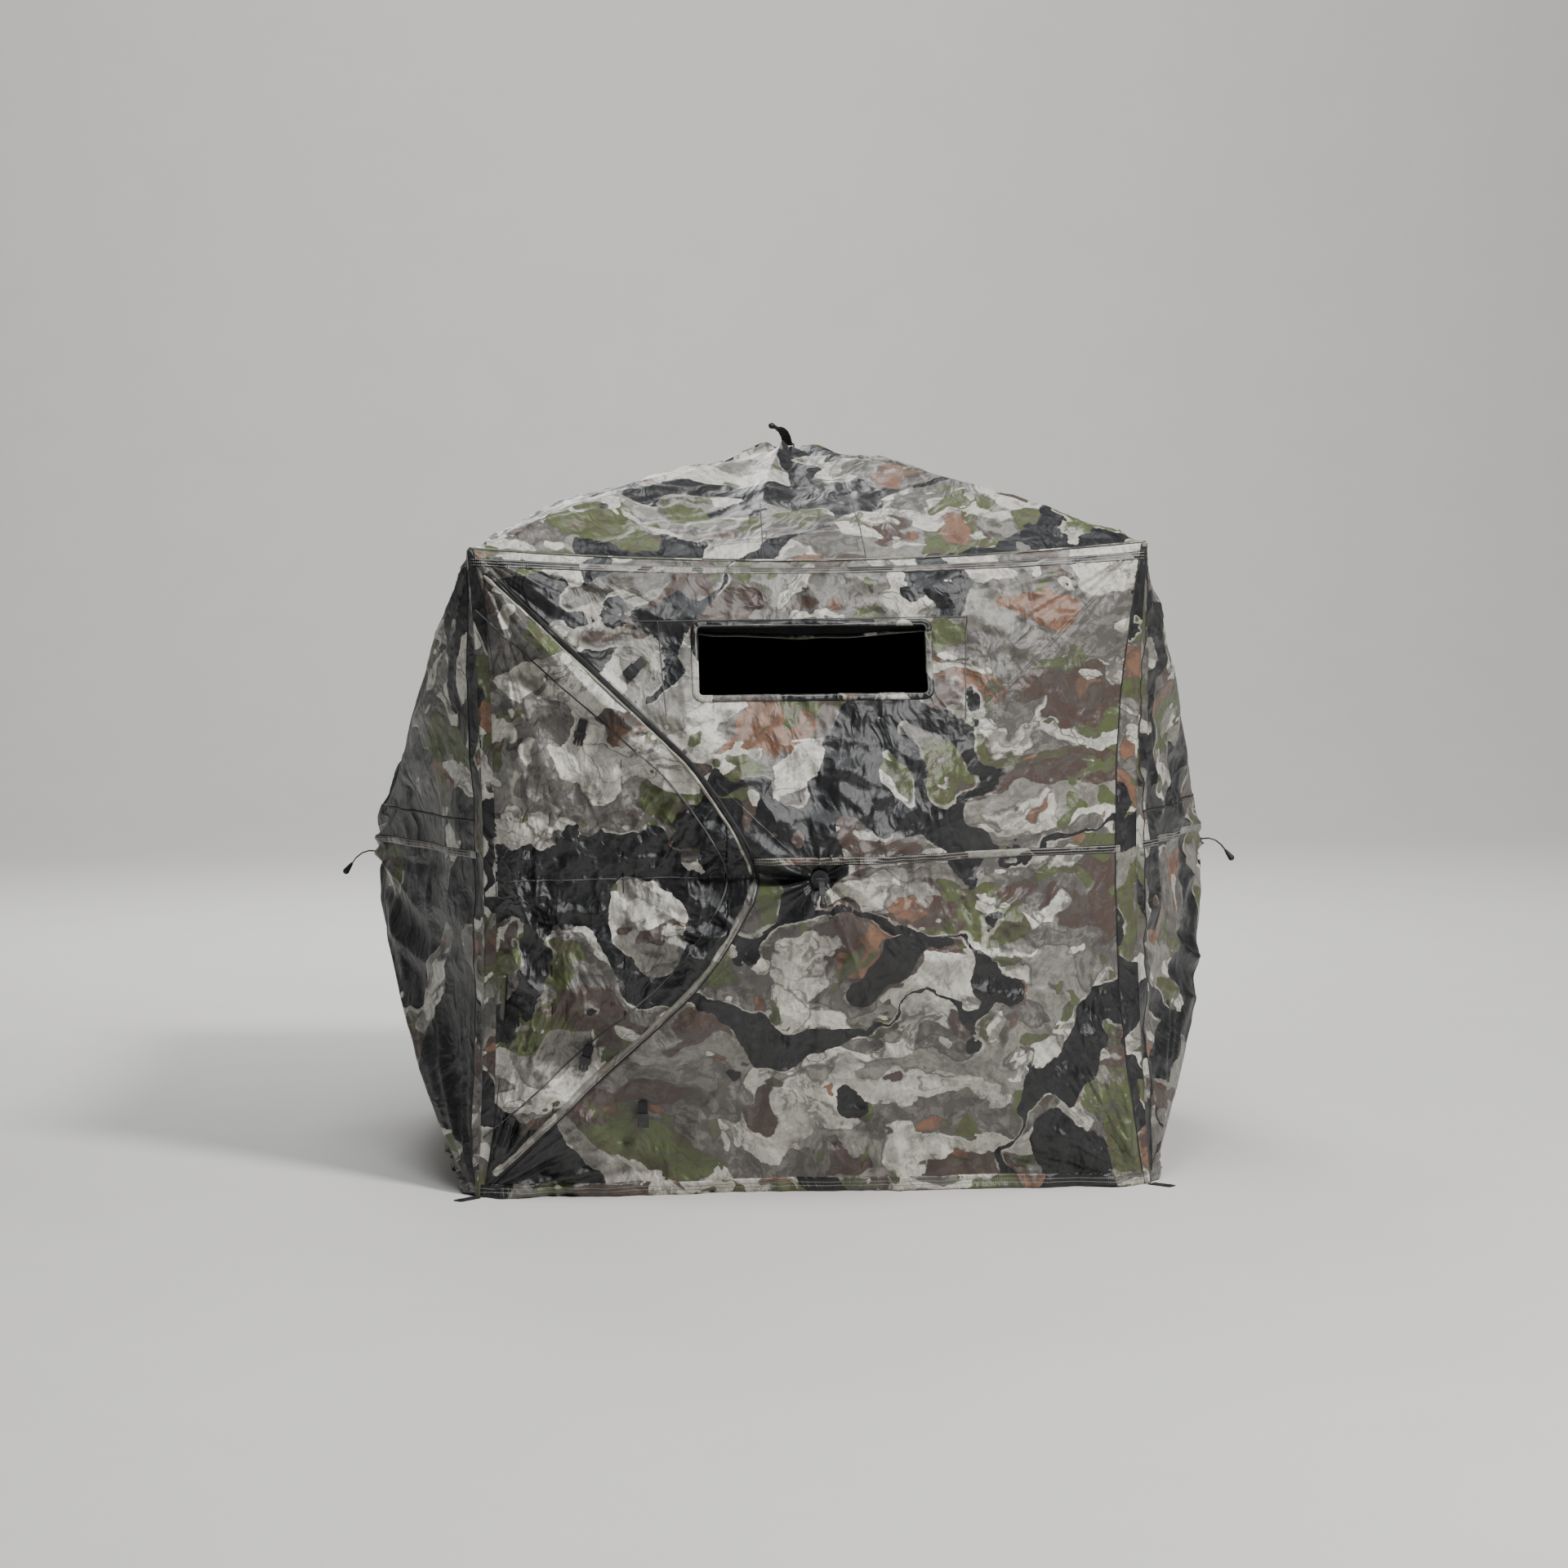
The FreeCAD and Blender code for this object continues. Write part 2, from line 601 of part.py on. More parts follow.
def build_face(name):
    face = FACES[name]
    place = frame(face[0], face[1], face[2])
    strap = ROOF_STRAP if name == "roof" else WALL_STRAP
    export(placed(hub(face, strap), place), f"{name}_hub")
    export(placed(pull_strap(strap), place), f"{name}_pull_strap")
    sides = face[5]
    for to_u, to_v in corner_signs():
        label = f"{name}_pole_{sides[3] if to_v > 0 else sides[2]}_{sides[1] if to_u > 0 else sides[0]}"
        export(placed(pole(face, to_u, to_v), place), label)
    for side in range(4):
        size = side_size(face, side)
        shape = panel_shape(size)
        if (name, side) == ("front", 3):
            shape = shape.cut(rounded_window())
        if (name, side) == ("front", 0):
            shape = door_margin(size)
        export(placed(shape, side_frame(face, side), place), f"{name}_panel_{sides[side]}")


def build_front_pieces():
    face = FACES["front"]
    place = frame(face[0], face[1], face[2])
    left, top = side_frame(face, 0), side_frame(face, 3)
    size = side_size(face, 0)
    export(placed(door_prism(size, 0, SHEET), left, place), "door")
    export(placed(zip_slider(size), left, place), "zip_slider")
    export(placed(curtain(), top, place), "window_curtain")
    for name, row in BUCKLES.items():
        export(placed(buckle(name), side_frame(face, row[0]), place), name)


os.makedirs("parts", exist_ok=True)
for face_name in FACES:
    build_face(face_name)
build_front_pieces()
export(shell_border(), "shell_border")
export(corner_gussets(), "corner_gussets")
export(stake_loops(), "stake_loops")
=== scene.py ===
"""Looks of the pop-up ground blind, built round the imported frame.

Every face of the blind (four walls and the roof) has its own u, v, n directions, as in the frame: u to the
right, v up and n outwards as seen from outside. skin() gives the fabric's place at any u, v of a face, with
its sag, its pulled-in edges and its folds, and all fabric and trim is laid on that one surface.
"""

import math

import bmesh
import bpy
import json
import numpy as np
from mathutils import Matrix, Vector


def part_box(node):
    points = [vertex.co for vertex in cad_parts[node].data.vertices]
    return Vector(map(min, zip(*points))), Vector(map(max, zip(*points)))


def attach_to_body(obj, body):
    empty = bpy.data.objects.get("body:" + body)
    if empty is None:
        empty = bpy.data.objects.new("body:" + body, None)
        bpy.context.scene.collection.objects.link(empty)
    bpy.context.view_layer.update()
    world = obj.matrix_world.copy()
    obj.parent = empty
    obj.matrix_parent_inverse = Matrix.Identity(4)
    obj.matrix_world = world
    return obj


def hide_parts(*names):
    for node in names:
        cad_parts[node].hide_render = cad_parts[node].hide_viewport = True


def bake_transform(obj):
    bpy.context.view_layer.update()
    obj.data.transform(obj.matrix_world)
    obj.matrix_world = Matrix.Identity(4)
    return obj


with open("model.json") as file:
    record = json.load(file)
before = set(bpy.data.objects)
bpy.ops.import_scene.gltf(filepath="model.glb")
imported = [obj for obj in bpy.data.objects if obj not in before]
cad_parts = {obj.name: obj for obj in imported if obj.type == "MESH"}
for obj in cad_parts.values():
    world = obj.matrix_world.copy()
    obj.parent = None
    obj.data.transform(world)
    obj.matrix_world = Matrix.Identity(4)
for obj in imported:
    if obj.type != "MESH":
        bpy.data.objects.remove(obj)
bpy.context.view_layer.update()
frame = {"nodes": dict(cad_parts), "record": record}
JOINTS = {j["name"]: j for j in frame["record"]["behaviour"]["joints"]}

# ---- sizes from the frame (metres) ----------------------------------------------------------------

BORDER_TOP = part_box("shell_border")[1]
BAND = 0.003  # the thickness of the border
A = float(BORDER_TOP[0]) - BAND / 2  # half the footprint
EAVE = float(BORDER_TOP[2]) - BAND / 2
B = EAVE / 2  # half a wall's height
CROWN = JOINTS["front_push"]["range_m"][1] / 2  # how far a hub stands out from its face
BORDER = A + JOINTS["front_panel_left_fold"]["pos_m"][0]  # from the edge of a face to its fold line
DOOR_HINGE = np.array(JOINTS["door_swing"]["pos_m"])
HINGE_U = float(DOOR_HINGE[0])

# ---- the fabric's own shape -----------------------------------------------------------------------

SAG = 0.012  # how far a panel sags in from the flat between its poles
# how far the fabric bows out over the poles of each face, on its upper and on its lower half
POLE_BOW = {"front": 0.007, "right": 0.012, "back": 0.012, "left": 0.014, "roof": 0.028}
FOOT_BOW = {"front": 0.007, "right": 0.042, "back": 0.035, "left": 0.052, "roof": 0.028}
POLE_REACH = 6.0  # how sharply the fabric falls away from a bowed pole
CORNER_BOW = 0.024  # how far the upright corner edges are pulled in at mid height
EAVE_DROP = 0.034  # how far the eave hangs at the middle of each side
EAVE_BOW = 0.016  # and is pulled in
# how far the foot of each wall stands out at mid width
HEM_OUT = {"front": -0.010, "right": 0.034, "back": 0.024, "left": 0.070}
EDGE_REACH = 0.24  # how far into a face the pull of its edges is felt
CLOTH_THICK = 0.0009
ROUND_OFF = 0.004  # how far the fabric is rounded off at the rim of a face and over its hub
FLAT_REACH = 0.075  # how far the fabric is drawn flat round a buckle's webbing
FOLDS_FROM, FOLDS_OVER = 0.045, 0.08  # how far from there its folds begin, and over what distance they grow


class Face:
    """One wall or the roof."""

    def __init__(self, name, middle, u, v, half_u, half_v, sides, seed):
        self.name, self.sides, self.seed = name, sides, seed
        self.middle, self.u, self.v = (np.array(x, float) for x in (middle, u, v))
        self.n = np.cross(self.u, self.v)
        self.half_u, self.half_v = half_u, half_v

    def world(self, u, v, n):
        return self.middle + np.outer(u, self.u) + np.outer(v, self.v) + np.outer(n, self.n)

    def panel(self, side):
        """The body that carries a panel of this face."""
        return f"{self.name}_panel_{self.sides[side]}"


WALL_SIDES = ("left", "right", "bottom", "top")
LEFT, RIGHT, BOTTOM, TOP = range(4)
FACES = {
    "front": Face("front", (0, -A, B), (1, 0, 0), (0, 0, 1), A, B, WALL_SIDES, 1.3),
    "right": Face("right", (A, 0, B), (0, 1, 0), (0, 0, 1), A, B, WALL_SIDES, 5.1),
    "back": Face("back", (0, A, B), (-1, 0, 0), (0, 0, 1), A, B, WALL_SIDES, 9.7),
    "left": Face("left", (-A, 0, B), (0, -1, 0), (0, 0, 1), A, B, WALL_SIDES, 14.2),
    "roof": Face("roof", (0, 0, EAVE), (1, 0, 0), (0, 1, 0), A, A, ("left", "right", "front", "back"), 20.6),
}
WALLS = [face for face in FACES.values() if face.name != "roof"]


def smooth(x):
    x = np.clip(x, 0, 1)
    return x * x * (3 - 2 * x)


def lattice(i, j, k):
    """A repeatable random number from -1 to 1 for each whole-number point."""
    h = (i * 374761393 + j * 668265263 + k * 1442695041) & 0xFFFFFFFF
    h = ((h ^ (h >> 13)) * 1274126177) & 0xFFFFFFFF
    h = ((h ^ (h >> 16)) * 2246822519) & 0xFFFFFFFF
    return ((h >> 8) & 0xFFFF) / 32767.5 - 1.0


def noise(x, y, z=0.0):
    """Smooth noise from about -1 to 1, with features about 1 apart."""
    x, y, z = np.broadcast_arrays(*(np.asarray(c, float) for c in (x, y, z)))
    cell = [np.floor(c).astype(np.int64) for c in (x, y, z)]
    part = [smooth(c - f) for c, f in zip((x, y, z), cell)]
    total = np.zeros(x.shape)
    for corner in np.ndindex(2, 2, 2):
        weight = 1.0
        for d, p in zip(corner, part):
            weight = weight * (p if d else 1 - p)
        total += weight * lattice(*(c + d for c, d in zip(cell, corner)))
    return total


def creases(x, y, z=0.0):
    """Noise with sharp ridges, as creased cloth has."""
    return 1 - 2 * np.abs(noise(x, y, z))


def fan(face, u, v, at, count, reach):
    """Folds that run out from one point of a face and die away."""
    du, dv = u - at[0], v - at[1]
    far = np.hypot(du, dv)
    turn = np.arctan2(dv, du)
    k = count / (2 * math.pi)
    folds = creases(np.cos(turn) * k, np.sin(turn) * k, far * 2.5 + face.seed)
    return folds * np.exp(-far / reach) * smooth(far / 0.05)


def crumple(u, v, warp, seed, sizes):
    """Layers of creases, from the broadest to the finest."""
    out = 0.0
    for k, (count, depth) in enumerate(sizes):
        out = out + depth * creases(u * count + warp * (1 + k), v * count * 0.85 + seed + warp, seed + 2 * k)
    return out


# folds per metre and their depth, for crumple()
WALL_CREASES = ((5, 0.0170), (11, 0.0130), (24, 0.0065), (50, 0.0020))
DOOR_CREASES = ((5, 0.0180), (10, 0.0160), (21, 0.0080), (44, 0.0030))


def wrinkles(face, u, v):
    """How far the folds of the fabric stand out, over a face: from its hub, from its corners and between."""
    seed = face.seed
    warp = noise(u * 3 + 7.7, v * 3, seed)
    out = 0.0080 * noise(u * 2.6 + seed, v * 2.6, seed)
    out = out + 0.0200 * fan(face, u, v, (0, 0), 24, 0.26) + 0.0220 * fan(face, u, v, (0, 0), 13, 0.60)
    for cu in (-face.half_u, face.half_u):
        for cv in (-face.half_v, face.half_v):
            out = out + 0.0170 * fan(face, u, v, (cu, cv), 40, 0.30)
            out = out + 0.0060 * fan(face, u, v, (cu, cv), 110, 0.35)
    loose = 0.40 + 0.60 * smooth((noise(u * 1.7 - seed, v * 1.7, seed + 9) + 0.35) / 0.6)
    tight = 0.5 if face.name in ("left", "right") else 1.0
    out = out + tight * loose * crumple(u, v, warp, seed, WALL_CREASES)
    slack = smooth((face.half_u - np.abs(u)) / 0.45)
    if face.name in ("left", "right"):
        out = out + 0.0110 * slack * creases(u * 1.6 + seed, v * 8.5 + warp * 1.3, seed)
    if face.name == "front":
        side = smooth((np.abs(u) / face.half_u - np.abs(v) / face.half_v) / 0.25) * smooth(u / 0.1)
        out = out + 0.0090 * side * creases(u * 9 + warp * 1.6 + v * 2.0, v * 2.4, seed + 2)
        low = smooth((-v / face.half_v - np.abs(u) / face.half_u) / 0.2)
        out = out + 0.0080 * low * noise(u * 4.5 + v * 3, v * 8 + warp, seed + 4)
    return out


def edge_pull(face, u, v):
    """How the tight fabric pulls the edges of the shelter in: shifts along u, v and n."""
    du, dv, dn = np.zeros_like(u), np.zeros_like(u), np.zeros_like(u)
    along_u, along_v = 1 - (u / face.half_u) ** 2, 1 - (v / face.half_v) ** 2
    near = {sign: np.clip(1 - (face.half_u - sign * u) / EDGE_REACH, 0, 1) ** 2 for sign in (-1, 1)}
    high = {sign: np.clip(1 - (face.half_v - sign * v) / EDGE_REACH, 0, 1) ** 2 for sign in (-1, 1)}
    if face.name == "roof":
        for sign in (-1, 1):
            du -= sign * EAVE_BOW * along_v * near[sign]
            dv -= sign * EAVE_BOW * along_u * high[sign]
            dn -= EAVE_DROP * (along_v * near[sign] + along_u * high[sign])
        return du, dv, dn
    for sign in (-1, 1):
        du -= sign * CORNER_BOW * along_v * near[sign]
        dn -= CORNER_BOW * along_v * near[sign]
    dv -= EAVE_DROP * along_u * high[1]
    dn -= EAVE_BOW * along_u * high[1]
    wave = noise(u * 4 + face.seed, face.seed) * 0.5 + 0.3 * noise(u * 11, face.seed)
    dn += HEM_OUT[face.name] * along_u * high[-1] * (1 + 0.5 * wave)
    dv += 0.004 * np.clip(wave, 0, 1) * along_u * high[-1]
    return du, dv, dn


BUCKLES = ("upper_buckle_socket", "upper_buckle_prongs", "lower_buckle_socket", "lower_buckle_prongs")
FLAT_SPOTS = []  # u, v of the middle of each on the front face
for buckle in BUCKLES:
    low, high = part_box(buckle)
    FLAT_SPOTS.append(((low.x + high.x) / 2, (low.z + high.z) / 2 - B))


def off_spots(u, v):
    """How much of the folds is left: 0 where a buckle's webbing is sewn on, and 1 away from there."""
    out = np.ones_like(u)
    for spot_u, spot_v in FLAT_SPOTS:
        out = out * smooth((np.hypot(u - spot_u, v - spot_v) - FOLDS_FROM) / FOLDS_OVER)
    return out


def skin(face, u, v, extra=None, folded=True):
    """The place of the fabric's middle at u, v of a face. extra(u, v) is how much further out it lies."""
    u, v = np.asarray(u, float), np.asarray(v, float)
    across, up = np.abs(u) / face.half_u, np.abs(v) / face.half_v
    outer, ridge = np.maximum(across, up), np.abs(across - up)
    slope = CROWN * (1 - outer * face.half_u / (face.half_u - BORDER))
    n = slope / 2 + np.sqrt(slope**2 / 4 + ROUND_OFF**2) - ROUND_OFF * np.exp(-((np.hypot(u, v) / 0.03) ** 2))
    bulge = 4 * outer * (1 - outer)
    lower = smooth((0.12 - v / face.half_v) / 0.24)
    bow = POLE_BOW[face.name] * (1 - lower) + FOOT_BOW[face.name] * lower * (0.75 + 0.5 * outer)
    n = n + bow * bulge * (1 - ridge) ** POLE_REACH - SAG * bulge * smooth(ridge / 0.6)
    if face.name == "front":
        for spot_u, spot_v in FLAT_SPOTS:
            near = np.exp(-(((u - spot_u) ** 2 + (v - spot_v) ** 2) / FLAT_REACH**2) ** 2)
            n = n + near * (slope - 0.001 - n)
    rim_u, rim_v = face.half_u - np.abs(u), face.half_v - np.abs(v)
    rim = np.minimum(rim_u, rim_v if face.name == "roof" else np.where(v > 0, rim_v, 1.0))
    calm = smooth(rim / 0.05) * (0.45 + 0.55 * smooth(ridge / 0.08)) * smooth(np.hypot(u, v) / 0.05)
    if face.name == "front":
        calm = calm * off_spots(u, v)
    if folded:
        n = n + wrinkles(face, u, v) * calm
    if extra is not None:
        n = n + extra(u, v)
    du, dv, dn = edge_pull(face, u, v)
    return face.world(u + du, v + dv, n + dn)


def lifted(face, u, v, lift, extra=None, folded=True):
    """Points that stand off the fabric by lift, square to it."""
    step = 0.004
    p = skin(face, u, v, extra, folded)
    pu = skin(face, u + step, v, extra, folded) - skin(face, u - step, v, extra, folded)
    pv = skin(face, u, v + step, extra, folded) - skin(face, u, v - step, extra, folded)
    square = np.cross(pu, pv)
    square /= np.linalg.norm(square, axis=1)[:, None]
    return p + square * np.reshape(lift, (-1, 1))


# ---- mesh helpers ---------------------------------------------------------------------------------


def placed(name, data):
    """A new object of the scene, with this mesh, camera or light."""
    obj = bpy.data.objects.new(name, data)
    bpy.context.collection.objects.link(obj)
    return obj


def add_object(name, points, faces, materials, cloth=None, run=None, flat_shade=False):
    """A mesh object. cloth is where each point lies on its bolt of fabric, run its place along a strip."""
    mesh = bpy.data.meshes.new(name)
    mesh.from_pydata([tuple(p) for p in points], [], faces)
    mesh.validate()
    for label, values in (("cloth", cloth), ("run", run)):
        if values is not None:
            attribute = mesh.attributes.new(label, "FLOAT_VECTOR", "POINT")
            attribute.data.foreach_set("vector", np.asarray(values, np.float32).ravel())
    if not flat_shade:
        mesh.polygons.foreach_set("use_smooth", [True] * len(mesh.polygons))
    for material in materials:
        mesh.materials.append(material)
    return placed(name, mesh)


def grid_faces(rows, columns, start=0, flip=False):
    """The four-sided faces of a grid of points that stand in rows."""
    corners = (start + i * columns + j for i in range(rows - 1) for j in range(columns - 1))
    order = -1 if flip else 1
    return [(a, a + 1, a + columns + 1, a + columns)[::order] for a in corners]


def thicken(obj, thick=CLOTH_THICK):
    """Gives a sheet its thickness, half to each side, with the second material on its inner side."""
    solid = obj.modifiers.new("Thickness", "SOLIDIFY")
    solid.thickness = thick
    solid.offset = 0.0
    if len(obj.data.materials) > 1:
        solid.material_offset = 1
        solid.material_offset_rim = 0


def outward(obj, face):
    """Turns the mesh's faces so that they look out of the shelter."""
    bm = bmesh.new()
    bm.from_mesh(obj.data)
    total = Vector((0, 0, 0))
    for f in bm.faces:
        total += f.normal * f.calc_area()
    if total.dot(Vector(face.n)) < 0:
        bmesh.ops.reverse_faces(bm, faces=bm.faces)
    bm.to_mesh(obj.data)
    bm.free()


def attach(obj, face, side):
    """A piece on a panel: finds the panel's fold line and which way is inward from it, and bakes the piece's
    place into its mesh.
    """
    fold = JOINTS[f"{face.panel(side)}_fold"]
    at = np.array(fold["pos_m"])
    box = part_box(face.panel(side)) if face.panel(side) != "front_panel_left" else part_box("door")
    inward = (np.array(box[0]) + np.array(box[1])) / 2 - at
    inward -= np.array(fold["axis"]) * inward.dot(fold["axis"])
    inward /= np.linalg.norm(inward)
    face.panel(side)
    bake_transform(obj)


# ---- materials ------------------------------------------------------------------------------------


class Nodes:
    """A short way to write a node tree."""

    def __init__(self, name):
        self.material = bpy.data.materials.new(name)
        self.material.use_nodes = True
        self.tree = self.material.node_tree
        self.shader = self.tree.nodes["Principled BSDF"]

    def add(self, kind, **settings):
        node = self.tree.nodes.new(kind)
        for key, value in settings.items():
            setattr(node, key, value)
        return node

    def link(self, source, target):
        self.tree.links.new(source, target)

    def put(self, socket, value):
        if hasattr(value, "is_output"):
            self.link(value, socket)
        else:
            socket.default_value = value

    def attribute(self, name):
        return self.add("ShaderNodeAttribute", attribute_name=name).outputs["Vector"]

    def math(self, operation, a, b=0.0, c=0.0):
        node = self.add("ShaderNodeMath", operation=operation)
        for socket, value in zip(node.inputs, (a, b, c)):
            self.put(socket, value)
        return node.outputs[0]

    def off_middle(self, value):
        """How far a noise is from its middle value."""
        return self.math("ABSOLUTE", self.math("SUBTRACT", value, 0.5))

    def invert(self, value):
        return self.math("SUBTRACT", 1.0, value)

    def vector(self, operation, a, b=(0, 0, 0), scale=None):
        node = self.add("ShaderNodeVectorMath", operation=operation)
        self.put(node.inputs[0], a)
        self.put(node.inputs[1], b)
        if scale is not None:
            self.put(node.inputs["Scale"], scale)
        return node.outputs[0]

    def noise(self, vector, scale, detail=2.0, rough=0.5, color=False):
        node = self.add("ShaderNodeTexNoise")
        self.put(node.inputs["Vector"], vector)
        node.inputs["Scale"].default_value = scale
        node.inputs["Detail"].default_value = detail
        node.inputs["Roughness"].default_value = rough
        return node.outputs["Color" if color else "Fac"]

    def step(self, value, low, high):
        node = self.add("ShaderNodeMapRange", interpolation_type="SMOOTHSTEP")
        self.put(node.inputs["Value"], value)
        node.inputs["From Min"].default_value = low
        node.inputs["From Max"].default_value = high
        return node.outputs["Result"]

    def mix(self, fac, a, b):
        node = self.add("ShaderNodeMix", data_type="RGBA")
        self.put(node.inputs[0], fac)
        for socket, value in ((node.inputs[6], a), (node.inputs[7], b)):
            self.put(socket, (*value, 1) if isinstance(value, tuple) and len(value) == 3 else value)
        return node.outputs[2]

    def xyz(self, vector):
        node = self.add("ShaderNodeSeparateXYZ")
        self.put(node.inputs[0], vector)
        return node.outputs

    def shaded(self, colour, rough, normal):
        """Joins these to the shader and returns the material."""
        for name, value in (("Base Color", colour), ("Roughness", rough), ("Normal", normal)):
            self.put(self.shader.inputs[name], value)
        return self.material

    def bump(self, height, distance, strength, normal=None):
        node = self.add("ShaderNodeBump")
        node.inputs["Distance"].default_value = distance
        node.inputs["Strength"].default_value = strength
        self.put(node.inputs["Height"], height)
        if normal is not None:
            self.link(normal, node.inputs["Normal"])
        return node.outputs["Normal"]


CREAM = (0.56, 0.54, 0.48)
STONE = (0.235, 0.225, 0.200)
GREY = (0.100, 0.094, 0.088)
OLIVE = (0.085, 0.105, 0.042)
BROWN = (0.072, 0.046, 0.038)
RUST = (0.205, 0.108, 0.068)
CHARCOAL = (0.0110, 0.0115, 0.0130)


def camo_colour(n, place, dark, clear):
    """Ragged patches of field colours, outlined here and there, with dark branching bands over them.

    dark widens the bands, and clear is a place in the sheet's u and v that they leave free.
    """
    broad = place
    for scale, amount, detail in ((1.7, 0.40, 3.0), (8, 0.085, 2.0), (30, 0.020, 2.0), (95, 0.006, 2.0)):
        shift = n.noise(place, scale, detail, 0.55, color=True)
        shift = n.vector("SCALE", n.vector("SUBTRACT", shift, (0.5, 0.5, 0.5)), scale=amount)
        broad = n.vector("ADD", broad, shift)
    speck = n.noise(place, 85.0, 5.0, 0.70)
    lichen = n.noise(broad, 30.0, 6.0, 0.72)
    streak = n.noise(n.vector("MULTIPLY", broad, (1.0, 0.22, 1.0)), 120.0, 4.0, 0.7)
    blotch = n.noise(place, 9.0, 4.0, 0.62)
    colour = n.mix(n.step(blotch, 0.42, 0.60), CREAM, n.mix(n.step(lichen, 0.48, 0.54), CREAM, STONE))
    edges = None
    # shift, patches per metre, the value they start at, tone, second tone, stretch
    layers = (
        ((3.1, 0.7, 0.0), 3.4, 0.465, STONE, GREY, (1, 1.35, 1)),
        ((9.4, 4.2, 0.0), 3.9, 0.515, GREY, STONE, (0.85, 1.4, 1)),
        ((1.2, 8.8, 0.0), 4.1, 0.545, OLIVE, BROWN, (0.95, 1.3, 1)),
        ((6.6, 2.9, 0.0), 5.0, 0.575, BROWN, GREY, (0.75, 1.5, 1)),
        ((2.3, 6.1, 0.0), 6.0, 0.635, RUST, BROWN, (0.9, 1.3, 1)),
        ((7.7, 7.3, 0.0), 4.8, 0.600, CREAM, STONE, (0.8, 1.45, 1)),
        ((4.9, 1.1, 0.0), 9.0, 0.650, CREAM, STONE, (0.9, 1.3, 1)),
        ((0.6, 5.2, 0.0), 9.5, 0.655, OLIVE, GREY, (0.9, 1.2, 1)),
    )
    outlined = n.step(n.noise(place, 5.0, 2.0), 0.42, 0.54)
    for shift, scale, threshold, tone, second, stretch in layers:
        spot = n.vector("ADD", n.vector("MULTIPLY", broad, stretch), shift)
        value = n.noise(spot, scale, 2.0, 0.5)
        mask = n.step(value, threshold - 0.002, threshold + 0.002)
        inner = n.mix(n.step(lichen, 0.50, 0.545), tone, n.mix(0.50, tone, second))
        colour = n.mix(mask, colour, inner)
        away = n.math("ABSOLUTE", n.math("SUBTRACT", value, threshold))
        line = n.math("MULTIPLY", n.invert(n.step(away, 0.003, 0.009)), outlined)
        edges = line if edges is None else n.math("MAXIMUM", edges, line)
    colour = n.mix(n.math("MULTIPLY", edges, 0.70), colour, (0.062, 0.056, 0.052))
    branch = n.noise(n.vector("ADD", broad, (5.5, 1.9, 0.0)), 2.15, 2.2, 0.52)
    width = n.step(n.noise(n.vector("ADD", place, (0.4, 3.3, 0)), 2.6, 2.0), 0.36, 0.66)
    width = n.math("MULTIPLY_ADD", width, 0.062, 0.005 + dark)
    near = n.math("SUBTRACT", n.off_middle(branch), width)
    halo = n.math("MULTIPLY", n.invert(n.step(near, 0.004, 0.010)), n.step(blotch, 0.50, 0.58))
    colour = n.mix(n.math("MULTIPLY", halo, 0.60), colour, CREAM)
    band = n.invert(n.step(near, -0.0006, 0.0006))
    patch = n.noise(n.vector("ADD", broad, (3.9, 8.2, 0.0)), 2.7, 2.0)
    band = n.math("MAXIMUM", band, n.step(patch, 0.620, 0.623))
    if clear:
        far = n.add("ShaderNodeVectorMath", operation="DISTANCE")
        n.put(far.inputs[0], n.attribute("cloth"))
        n.put(far.inputs[1], (*clear, 0.0))
        uneven = n.math("MULTIPLY", n.math("SUBTRACT", blotch, 0.5), 0.16)
        ragged = n.math("ADD", far.outputs["Value"], uneven)
        band = n.math("MULTIPLY", band, n.step(ragged, 0.070, 0.072))
    black = n.mix(n.step(lichen, 0.50, 0.66), CHARCOAL, tuple(2.1 * c for c in CHARCOAL))
    colour = n.mix(band, colour, black)
    worn = n.math("ADD", n.step(speck, 0.53, 0.60), n.step(streak, 0.52, 0.62))
    fleck = n.math("MULTIPLY", worn, n.math("SUBTRACT", 0.26, n.math("MULTIPLY", band, 0.20)))
    return n.mix(fleck, colour, (0.075, 0.070, 0.058)), speck


def weave(n, place, pitch=0.0011):
    """The height of a fine plain weave."""
    x, y, _ = n.xyz(place)
    warp = n.math("SINE", n.math("MULTIPLY", x, 2 * math.pi / pitch))
    weft = n.math("SINE", n.math("MULTIPLY", y, 2 * math.pi / pitch))
    return n.math("MULTIPLY", warp, weft)


STITCH = 0.0045  # from one stitch to the next
STITCH_HALF = 0.0009  # half the width of a row


def stitches(n, rows):
    """1 on the stitches of rows of thread, at those distances across the strip, and 1 on the whole rows."""
    along, across, _ = n.xyz(n.attribute("run"))
    on = n.math("LESS_THAN", n.math("FRACT", n.math("DIVIDE", along, STITCH)), 0.62)
    total = None
    for row in rows:
        line = n.math("LESS_THAN", n.math("ABSOLUTE", n.math("SUBTRACT", across, row)), STITCH_HALF)
        total = line if total is None else n.math("MAXIMUM", total, line)
    return n.math("MULTIPLY", total, on), total


